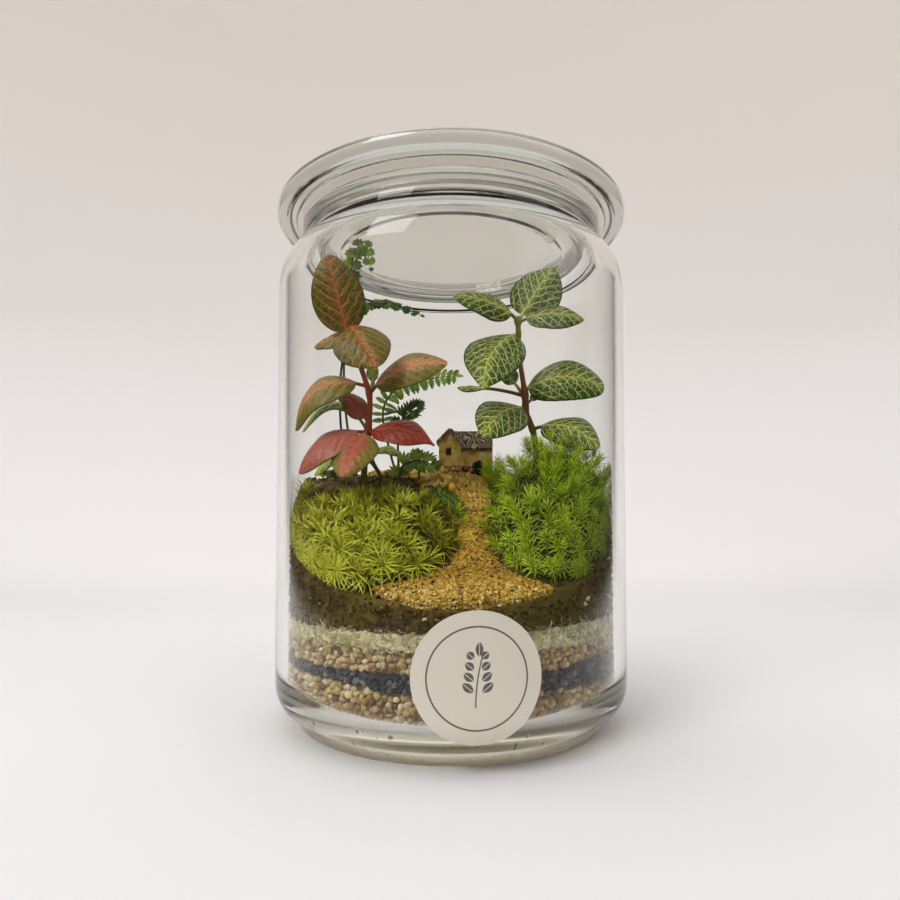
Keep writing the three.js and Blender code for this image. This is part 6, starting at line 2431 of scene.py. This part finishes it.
@dataclass
class FernFrond:
    """One fern frond: a thin dark rib from its hole in the soil, with paired leaflets."""

    node: str
    root: Pair
    path: tuple[Point, ...]
    face: Point
    size: float
    pairs: int
    leafy: float
    form: LeafletForm
    finish: FrondFinish
    seed: int
    fineness: float = 1.25
    root_depth: float = 3.8
    steps: int = 120

    def make(self) -> None:
        """Builds and dresses the frond."""
        draw = np.random.default_rng(self.seed)
        comb = self.form is LeafletForm.COMB
        path = smooth_path(rooted(self.path, self.root, self.root_depth), self.steps)[::-1]
        rib = Rib.along(path, self.face)
        thickness = np.interp(np.linspace(0, 1, self.steps + 1), [0, 0.7, 1], [0.42, 0.3, 0.1])
        stalk = rod(path, thickness, 2)
        stalk.values = {"rib": np.ones(len(stalk.points)), "tone": np.zeros(len(stalk.points))}
        parts = [stalk]
        length = rib.length()
        pairs = round(self.pairs * self.fineness)
        pitch = self.leafy / (pairs + 0.6)
        room = pitch * length * (0.98 if comb else 1.3)
        for pair in range(pairs):
            share = (pair + 0.5) / pairs
            reach = self.size * (0.4 + 0.6 * math.sin(math.pi * (0.16 + 0.74 * share)))
            breadth = min((0.62 if comb else 0.95) * reach, room)
            for hand in (-1, 1):
                t = 1 - self.leafy + pitch * (pair + 0.1) + 0.45 * breadth / length
                t += draw.uniform(-0.05, 0.05) * pitch
                parts.append(self._leaflet(rib, t, hand, (reach, breadth), draw))
        tip = int(round(self.steps * (1 - 0.5 * pitch)))
        end = leaflet(self.form, 0.5 * self.size * 0.8, 0.5 * self.size * 0.7, 0.1)
        parts.append(self._set(end, path[tip], rib.tangents[tip], rib.outward, draw))
        whole = Shape.joined(parts)
        whole.points = inside_glass(whole.points)
        add_piece(whole.piece(f"{self.node}_frond", 70), self.finish.material(), "fern", self.node)

    def _leaflet(self, rib: Rib, t: float, hand: int, size: Pair, draw: np.random.Generator) -> Shape:
        """One leaflet in its place beside the rib."""
        last = len(rib.path) - 1
        index = min(int(round(t * last)), last)
        forward = rib.tangents[index]
        sideways = np.cross(forward, rib.outward) * hand
        sideways /= np.linalg.norm(sideways)
        lean = draw.uniform(0.1, 0.34) + (0.6 if self.form is LeafletForm.PARSLEY else 0.0)
        along = sideways + forward * lean
        along /= np.linalg.norm(along)
        length, breadth = size[0] * draw.uniform(0.9, 1.04), size[1] * draw.uniform(0.95, 1.08)
        shape = leaflet(self.form, length, breadth, draw.uniform(0, 0.16))
        return self._set(shape, rib.path[index] + 0.1 * sideways, along, rib.outward, draw)

    @staticmethod
    def _set(
        shape: Shape, place: Array, along: Array, outward: Array, draw: np.random.Generator
    ) -> Shape:
        """Turns a flat leaflet to run one way and face outward, with a small random twist."""
        twist = draw.uniform(-0.3, 0.3)
        across = np.cross(outward, along)
        across /= np.linalg.norm(across)
        up = np.cross(along, across)
        turned = across * math.cos(twist) + up * math.sin(twist)
        lifted = np.cross(along, turned)
        points = shape.points @ np.stack([along, turned, lifted]) + place
        tone = np.full(len(points), draw.uniform(0, 1))
        return Shape(points, shape.triangles, shape.values | {"tone": tone})


def ferns() -> list[FernFrond]:
    """The eight fronds."""
    comb, fan, cut = LeafletForm.COMB, LeafletForm.FAN, LeafletForm.PARSLEY
    dark = FrondFinish("fern_dark", srgb(100, 130, 32), srgb(44, 72, 12))
    fresh = FrondFinish("fern_fresh", srgb(150, 176, 58), srgb(84, 116, 26))
    bright = FrondFinish("fern_bright", srgb(166, 184, 56), srgb(92, 118, 24))
    tall = (
        (-21, -22.6, 123.2), (-22.4, -21.4, 128.6), (-22.9, -20.4, 131.6), (-25.2, -19.4, 132.2),
        (-27.6, -17, 125), (-29, -13.6, 113), (-31.2, -7, 100), (-32.6, 4.6, 89),
    )
    side = (
        (-7.5, -8.4, 115.4), (-14.8, -8, 118.4), (-22, -8, 119.4),
        (-28.6, -6.4, 115), (-33.6, 1, 101), (-35, 8, 88),
    )
    long = (
        (2.6, -3, 99.4), (-4.1, -1.4, 99.2), (-11.4, 0.6, 98),
        (-18, 2.6, 95.4), (-21, 4.4, 90), (-19.6, 6.6, 80),
    )
    lobed = ((-8.6, 4.6, 93), (-12.4, 4.8, 90.4), (-15.6, 5.6, 87), (-16.6, 7, 79))
    front = ((-3.6, -5.2, 71.6), (-7.6, -4, 73.8), (-11.6, -2.4, 74.2), (-15, -1.4, 72))
    upright = ((-10.3, 1.2, 78.4), (-10, 1.6, 76), (-9.8, 2, 73))
    droop = ((3.4, -17.6, 57.6), (1.4, -14, 60.8), (-2, -10.4, 63.9), (-6, -7.4, 66.4))
    low = ((-38.2, -4.2, 69.6), (-36.8, -2, 70.4), (-35.6, 1.2, 70.6))
    return [
        FernFrond("fern_tall", (-30.5, 7.5), tall, (0.1, -1, 0.1), 2.9, 8, 0.42, fan, fresh, 101, 1.5),
        FernFrond("fern_side", (-33.5, 10.5), side, (0, -0.75, 0.66), 2.7, 8, 0.38, fan, dark, 102),
        FernFrond("fern_long", (-17.5, 8.5), long, (0, -0.8, 0.6), 5.0, 12, 0.6, comb, fresh, 103, 1.5),
        FernFrond("fern_lobed", (-16.2, 7.4), lobed, (0, -0.85, 0.5), 4.6, 4, 0.5, cut, dark, 104),
        FernFrond("fern_front", (-15.6, -0.4), front, (0.1, -0.8, 0.6), 5.4, 4, 0.74, cut, fresh, 105),
        FernFrond("fern_upright", (-9.6, 2.2), upright, (0, -0.9, 0.3), 4, 2, 0.5, cut, fresh, 106, 1),
        FernFrond("fern_droop", (-9.4, -4.8), droop, (0.35, -0.75, 0.55), 3.6, 6, 0.62, cut, dark, 107),
        FernFrond("fern_low_left", (-35.4, 3.4), low, (-0.1, -0.6, 0.8), 2.8, 3, 0.5, fan, bright, 108, 1),
    ]


@dataclass
class MossBush:
    """A bush of moss: a core painted in deep shade that follows the soil, with shoots of bent needles."""

    name: str
    node: str
    slot: str
    centre: Pair
    semi: Pair
    turn: float
    height: Pair
    spacing: float
    needles_each: int
    needle: Pair
    width: float
    bend: Pair
    rise: Pair
    opening: Pair
    # tones: the shoots' tone at the jar's middle and at the glass, a painted light across the bush
    tones: Pair
    finish: MossFinish
    seed: int
    back_trim: float = 0.0
    dry_share: float = 0.0
    joints: int = 3
    fringe: int = 0
    fringe_x: Pair = (12.0, 17.0)
    fringe_y: Pair = (-4.0, 0.4)
    fringe_rise: Pair = (0.5, 5.0)
    glass_gap_radius: float = 46.9

    def reach(self, angle: Array) -> Array:
        """How far the bush reaches from its centre in a direction, inside the glass."""
        local = angle - math.radians(self.turn)
        oval = 1 / np.hypot(np.cos(local) / self.semi[0], np.sin(local) / self.semi[1])
        along = self.centre[0] * np.cos(angle) + self.centre[1] * np.sin(angle)
        square = self.centre[0] ** 2 + self.centre[1] ** 2
        to_glass = -along + np.sqrt(along * along - square + MOSS_EDGE**2)
        return np.minimum(oval, to_glass)

    def place(self, u: Array, v: Array) -> tuple[Array, Array]:
        """x and y of a turn and a ring, both from 0 to 1."""
        angle = 2 * np.pi * u
        reach = self.reach(angle) * v
        return self.centre[0] + reach * np.cos(angle), self.centre[1] + reach * np.sin(angle)

    def ring_of(self, x: Array, y: Array) -> Array:
        """The ring, 0 to 1, on which a place lies."""
        dx, dy = x - self.centre[0], y - self.centre[1]
        return np.clip(np.hypot(dx, dy) / self.reach(np.arctan2(dy, dx)), 0, 1)

    def top(self, x: Array, y: Array) -> Array:
        """Height of the core's top."""
        back = np.clip((y - self.centre[1] + self.semi[1]) / (2 * self.semi[1]), 0, 1)
        tall = self.height[0] + (self.height[1] - self.height[0]) * back
        return ground_height(x, y) + 1.2 + tall * (1 - self.ring_of(x, y) ** 5)

    @staticmethod
    def foot(x: Array, y: Array) -> Array:
        """Height of the core's underside, just above the soil."""
        return ground_height(x, y) + 0.35

    def make(self) -> None:
        """Builds and dresses the bush."""
        draw = np.random.default_rng(self.seed)
        core = roughened(closed_sheet(self.place, self.top, self.foot, 96, 22, 4), 0.7, 0.6)
        # painted shade: the core takes the deep shade colour all over
        core.values = {"depth": np.full(len(core.points), -2.0)}
        rings = max(3, round(sum(self.semi) / 2 / self.spacing))
        places = []
        for ring in range(rings + 1):
            share = (ring + 0.15) / (rings + 0.4)
            around = np.pi * share * sum(self.semi)
            count = max(1, round(around / self.spacing))
            u = (np.arange(count) + 0.5 * (ring % 2) + draw.uniform(-0.35, 0.35, count)) / count
            v = np.clip(share + draw.uniform(-0.4, 0.4, count) / rings, 0, 1)
            x, y = self.place(u, v)
            places.append(np.stack([x, y, self.top(x, y), v], -1))
        shoots = [self._shoot(row, draw) for row in np.concatenate(places)]
        shoots += [self._shoot(row, draw) for row in self._fringe(draw)]
        whole = Shape.joined([core, *shoots])
        whole.points = inside_glass(whole.points, self.glass_gap_radius)
        low = ground_height(whole.points[:, 0], whole.points[:, 1]) + 0.3
        whole.points[:, 2] = np.maximum(whole.points[:, 2], low)
        add_piece(whole.piece(self.name, 60), self.finish.material(), self.slot, self.node)

    def _fringe(self, draw: np.random.Generator) -> Array:
        """Places of the tall shoots at the inner back corner, one row each."""
        x, y = draw.uniform(*self.fringe_x, self.fringe), draw.uniform(*self.fringe_y, self.fringe)
        z = ground_height(x, y) + np.linspace(*self.fringe_rise, self.fringe)
        return np.stack([x, y, z, np.full(self.fringe, 0.5)], -1)

    def _shoot(self, row: Array, draw: np.random.Generator) -> Shape:
        """One shoot: needles in a spiral round a short stem, as one shape."""
        x, y, z, ring = row
        outward = np.array([x - self.centre[0], y - self.centre[1], 0.0])
        outward /= max(np.linalg.norm(outward), 1e-6)
        lean = np.array([(x - self.centre[0]) / 26, (y - self.centre[1]) / 26 - 0.3, 1.0])
        lean += outward * (1.2 * ring**4) + draw.normal(0, 0.22, 3)
        lean /= np.linalg.norm(lean)
        side = np.cross(lean, np.array([0.3, 0.2, 1.0]) + outward)
        side /= np.linalg.norm(side)
        other = np.cross(lean, side)
        count = self.needles_each
        share = (np.arange(count) + 0.5) / count
        angle = GOLDEN_TURN * np.arange(count) + draw.uniform(0, FULL_TURN)
        radial = np.cos(angle)[:, None] * side + np.sin(angle)[:, None] * other
        opening = self.opening[0] + (self.opening[1] - self.opening[0]) * share**1.3
        open_angle = np.radians(opening + draw.normal(0, 7, count))
        along = lean * np.cos(open_angle)[:, None] + radial * np.sin(open_angle)[:, None]
        rise = draw.uniform(*self.rise)
        roots = np.array([x, y, z]) + lean * (rise * share)[:, None] + radial * 0.2
        back = np.clip((y - self.centre[1]) / self.semi[1], 0, 1)
        lengths = draw.uniform(*self.needle, count) * (0.72 + 0.38 * np.sin(np.pi * share**0.8))
        lengths *= 1 - self.back_trim * back
        bends = draw.uniform(*self.bend, count)
        widths = self.width * draw.uniform(0.8, 1.15, count)
        droop = radial - lean * 0.8
        towards = np.where(bends[:, None] < 0, -droop, droop)
        shape = needles(roots, along, towards, lengths, widths, np.abs(bends), self.joints)
        inner, outer = self.tones
        # painted light: shoots higher up, and towards one side by the tones pair, get a lighter tone, as
        # where light falls on the bush
        upper = 0.3 * float(smoothstep(np.array(z), 46.0, 72.0))
        bright = inner + (outer - inner) * abs(x) / MOSS_EDGE + upper
        tone = np.clip(bright + draw.uniform(-0.15, 0.15) + draw.uniform(-0.1, 0.1, count), 0, 0.85)
        tone += 0.15 * (draw.uniform(0, 1) < self.dry_share)
        shape.values["tone"] = np.repeat(tone, len(shape.points) // count)
        # painted shade: depth along the shoot; its lowest points take the deep shade colour
        shape.values["depth"] = (shape.points - np.array([x, y, z])) @ lean
        return shape


def moss() -> list[MossBush]:
    """The two bushes of moss, left and right of the path."""
    olive = MossFinish(
        "olive_moss",
        # painted shade deep among the shoots
        painted_deep_shade=srgb(64, 58, 6),
        foot=srgb(140, 140, 20),
        middle=srgb(192, 194, 44),
        tip=srgb(236, 238, 120),
        dry=srgb(176, 142, 52),
        shade_low=-2.0,
        shade_high=2.3,
        patchiness=0.6,
    )
    green = MossFinish(
        "green_moss",
        # painted shade deep among the shoots
        painted_deep_shade=srgb(44, 50, 4),
        foot=srgb(112, 132, 12),
        middle=srgb(176, 200, 30),
        tip=srgb(222, 240, 90),
        dry=srgb(150, 176, 40),
        shade_low=-2.0,
        shade_high=1.8,
    )
    return [
        MossBush(
            "moss_cushion_left",
            "moss_left",
            "moss_olive",
            centre=(-22.8, -22.4),
            semi=(23.5, 14.2),
            turn=8.0,
            height=(3.4, 1.0),
            spacing=3.9,
            needles_each=46,
            needle=(4.6, 7.0),
            width=0.26,
            bend=(0.0, 0.9),
            rise=(2.4, 4.4),
            opening=(80, 10),
            tones=(0.02, 0.8),
            finish=olive,
            seed=5,
            back_trim=0.4,
            dry_share=0.12,
        ),
        MossBush(
            "moss_cushion_right",
            "moss_right",
            "moss_green",
            centre=(29.4, -20.6),
            semi=(16.4, 14.8),
            turn=14.0,
            height=(4.4, 20.5),
            spacing=2.6,
            needles_each=48,
            needle=(2.6, 4.2),
            width=0.14,
            bend=(-0.1, 0.6),
            rise=(4.0, 6.6),
            opening=(64, 12),
            tones=(1.05, 0.06),
            finish=green,
            seed=9,
            joints=2,
            fringe=12,
        ),
    ]


@dataclass
class StarTuft:
    """The single star-shaped shoot of moss at the left edge of the planting."""

    place: Pair = (-41.2, -10.6)
    count: int = 70
    width: float = 0.24
    needle: Pair = (4.2, 5.6)
    glass_gap_radius: float = 46.9
    seed: int = 31
    finish: MossFinish = MossFinish(
        "star_tuft",
        # painted shade at the foot of the tuft
        painted_deep_shade=srgb(64, 58, 8),
        foot=srgb(128, 126, 20),
        middle=srgb(176, 176, 40),
        tip=srgb(232, 234, 120),
        dry=srgb(176, 142, 52),
        shade_low=-1.0,
        shade_high=1.6,
    )

    def make(self) -> None:
        """Builds and dresses the tuft."""
        draw = np.random.default_rng(self.seed)
        count = self.count
        x, y = self.place
        ground = float(ground_height(np.array(x), np.array(y)))
        path = np.array([[x, y, ground - 2.0], [x, y, ground + 2], [x, y, ground + 5.6]])
        stem = rod(path, np.array([0.8, 0.8, 0.3]))
        # painted shade: the stem is partly in the deep shade colour
        stem.values = {"depth": np.full(len(stem.points), 0.5)}
        share = (np.arange(count) + 0.5) / count
        angle = GOLDEN_TURN * np.arange(count)
        radial = np.stack([np.cos(angle), np.sin(angle), np.zeros(count)], -1)
        opened = np.radians(98 - 84 * share)
        along = UP * np.cos(opened)[:, None] + radial * np.sin(opened)[:, None]
        roots = np.array([x, y, ground + 2.4]) + UP * (2.8 * share)[:, None] + radial * 0.4
        lengths, bends = draw.uniform(*self.needle, count), draw.uniform(0.0, 0.4, count)
        star = needles(roots, along, radial - UP, lengths, np.full(count, self.width), bends, 4)
        star.values["tone"] = np.repeat(draw.uniform(0.2, 0.9, count), len(star.points) // count)
        # painted shade: needles near the ground take the deep shade colour
        star.values["depth"] = star.points[:, 2] - ground - 1.5
        whole = Shape.joined([stem, star])
        whole.points = inside_glass(whole.points, self.glass_gap_radius)
        add_piece(whole.piece("star_moss"), self.finish.material(), "moss_olive", "moss_tuft")


# The studio

SKY_STOPS = ((0.0, (0.9, 0.91, 0.92)), (1.0, (0.84, 0.85, 0.86)))


@dataclass
class Studio:
    """A pale bowl of floor and wall, soft lights, and the camera."""

    flat: float = 0.45
    wall: float = 0.9
    rim: float = 1.1
    bend_height: float = 0.36
    flat_start: float = 0.12
    focal: float = 26.39
    tilt: float = 0.04
    place: Point = (0.0, -0.1978, 0.0579)
    shift: Pair = (-1 / 900, 40 / 900)
    paper: PlainFinish = PlainFinish(
        "studio_paper",
        colour=srgb(234, 233, 234),
        # painted light: the far and upper colours of the backdrop
        far=srgb(248, 246, 246),
        upper=srgb(242, 234, 227),
        # painted shade of the unlit room outside the view
        unlit_room_shade=srgb(64, 62, 60),
        # painted light: the colour of the glow painted under the jar
        glow=(0.82, 0.77, 0.64),
    )

    def backdrop(self) -> None:
        """A floor that curves up into a round wall behind and in front."""
        height = self.bend_height / MM
        curve = arc((self.flat / MM, height), ((self.wall - self.flat) / MM, height), -90, 0, 24)
        outline = [(0.0, 0.0), (self.flat_start / MM, 0.0), *curve, (self.wall / MM, self.rim / MM)]
        bowl = spun("studio_floor", outline, 96)
        bpy.context.view_layer.objects.active = bowl
        bpy.ops.object.mode_set(mode="EDIT")
        bpy.ops.mesh.select_all(action="SELECT")
        bpy.ops.mesh.normals_make_consistent(inside=True)
        bpy.ops.object.mode_set(mode="OBJECT")
        bowl.location.z = -0.0002
        bowl.data.materials.append(self.paper.material())

    def lights(self) -> None:
        """Three large soft lights and an even sky."""
        for name, spot, size, power in (
            ("key", (-0.5, -0.55, 0.8), (0.4, 0.4), 3.9),
            ("fill", (0.7, -0.45, 0.4), (0.5, 0.7), 1.3),
            ("top", (-0.1, 0.05, 0.9), (0.5, 0.4), 1.5),
        ):
            light = bpy.data.lights.new(name, "AREA")
            light.shape = "RECTANGLE"
            light.size, light.size_y = size
            light.energy = power
            lamp = bpy.data.objects.new(name, light)
            lamp.location = spot
            aim = Vector((0, 0, 0.07)) - Vector(spot)
            lamp.rotation_euler = aim.to_track_quat("-Z", "Y").to_euler()
            lamp.visible_transmission = False
            bpy.context.scene.collection.objects.link(lamp)
        world = bpy.data.worlds.new("studio_sky")
        world.use_nodes = True
        nodes, links = world.node_tree.nodes, world.node_tree.links
        place = nodes.new("ShaderNodeTexCoord")
        split = nodes.new("ShaderNodeSeparateXYZ")
        ramp = nodes.new("ShaderNodeValToRGB")
        fill_ramp(ramp.color_ramp, SKY_STOPS)
        links.new(place.outputs["Generated"], split.inputs[0])
        links.new(split.outputs[2], ramp.inputs[0])
        links.new(ramp.outputs[0], nodes["Background"].inputs["Color"])
        nodes["Background"].inputs["Strength"].default_value = 1.0
        bpy.context.scene.world = world
        bpy.context.scene.view_settings.view_transform = "Standard"

    def camera(self) -> None:
        """The camera at the photo's angle."""
        lens = bpy.data.cameras.new("camera")
        lens.lens = self.focal
        lens.sensor_width = 36
        lens.shift_x, lens.shift_y = self.shift
        lens.clip_start = 0.01
        view = bpy.data.objects.new("camera", lens)
        view.location = self.place
        view.rotation_euler = (math.pi / 2 + self.tilt, 0, 0)
        bpy.context.scene.collection.objects.link(view)
        bpy.context.scene.camera = view

    def make(self) -> None:
        """Builds the backdrop, the lights and the camera."""
        self.camera()
        self.backdrop()
        self.lights()


def main() -> None:
    """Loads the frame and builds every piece."""
    logging.basicConfig(level=logging.INFO, format="%(name)s: %(message)s")
    noise.seed_set(NOISE_SEED)
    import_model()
    deselect_all()
    Studio().make()
    Jar().make()
    Sticker().make()
    for piece in (*beds(), DryMoss(), Soil(), SandPath(), Pebbles(), Rocks(), Cottage()):
        piece.make()
    for piece in (*nerve_plants(), *ferns(), *moss(), StarTuft()):
        piece.make()


if __name__ == "__main__":
    main()
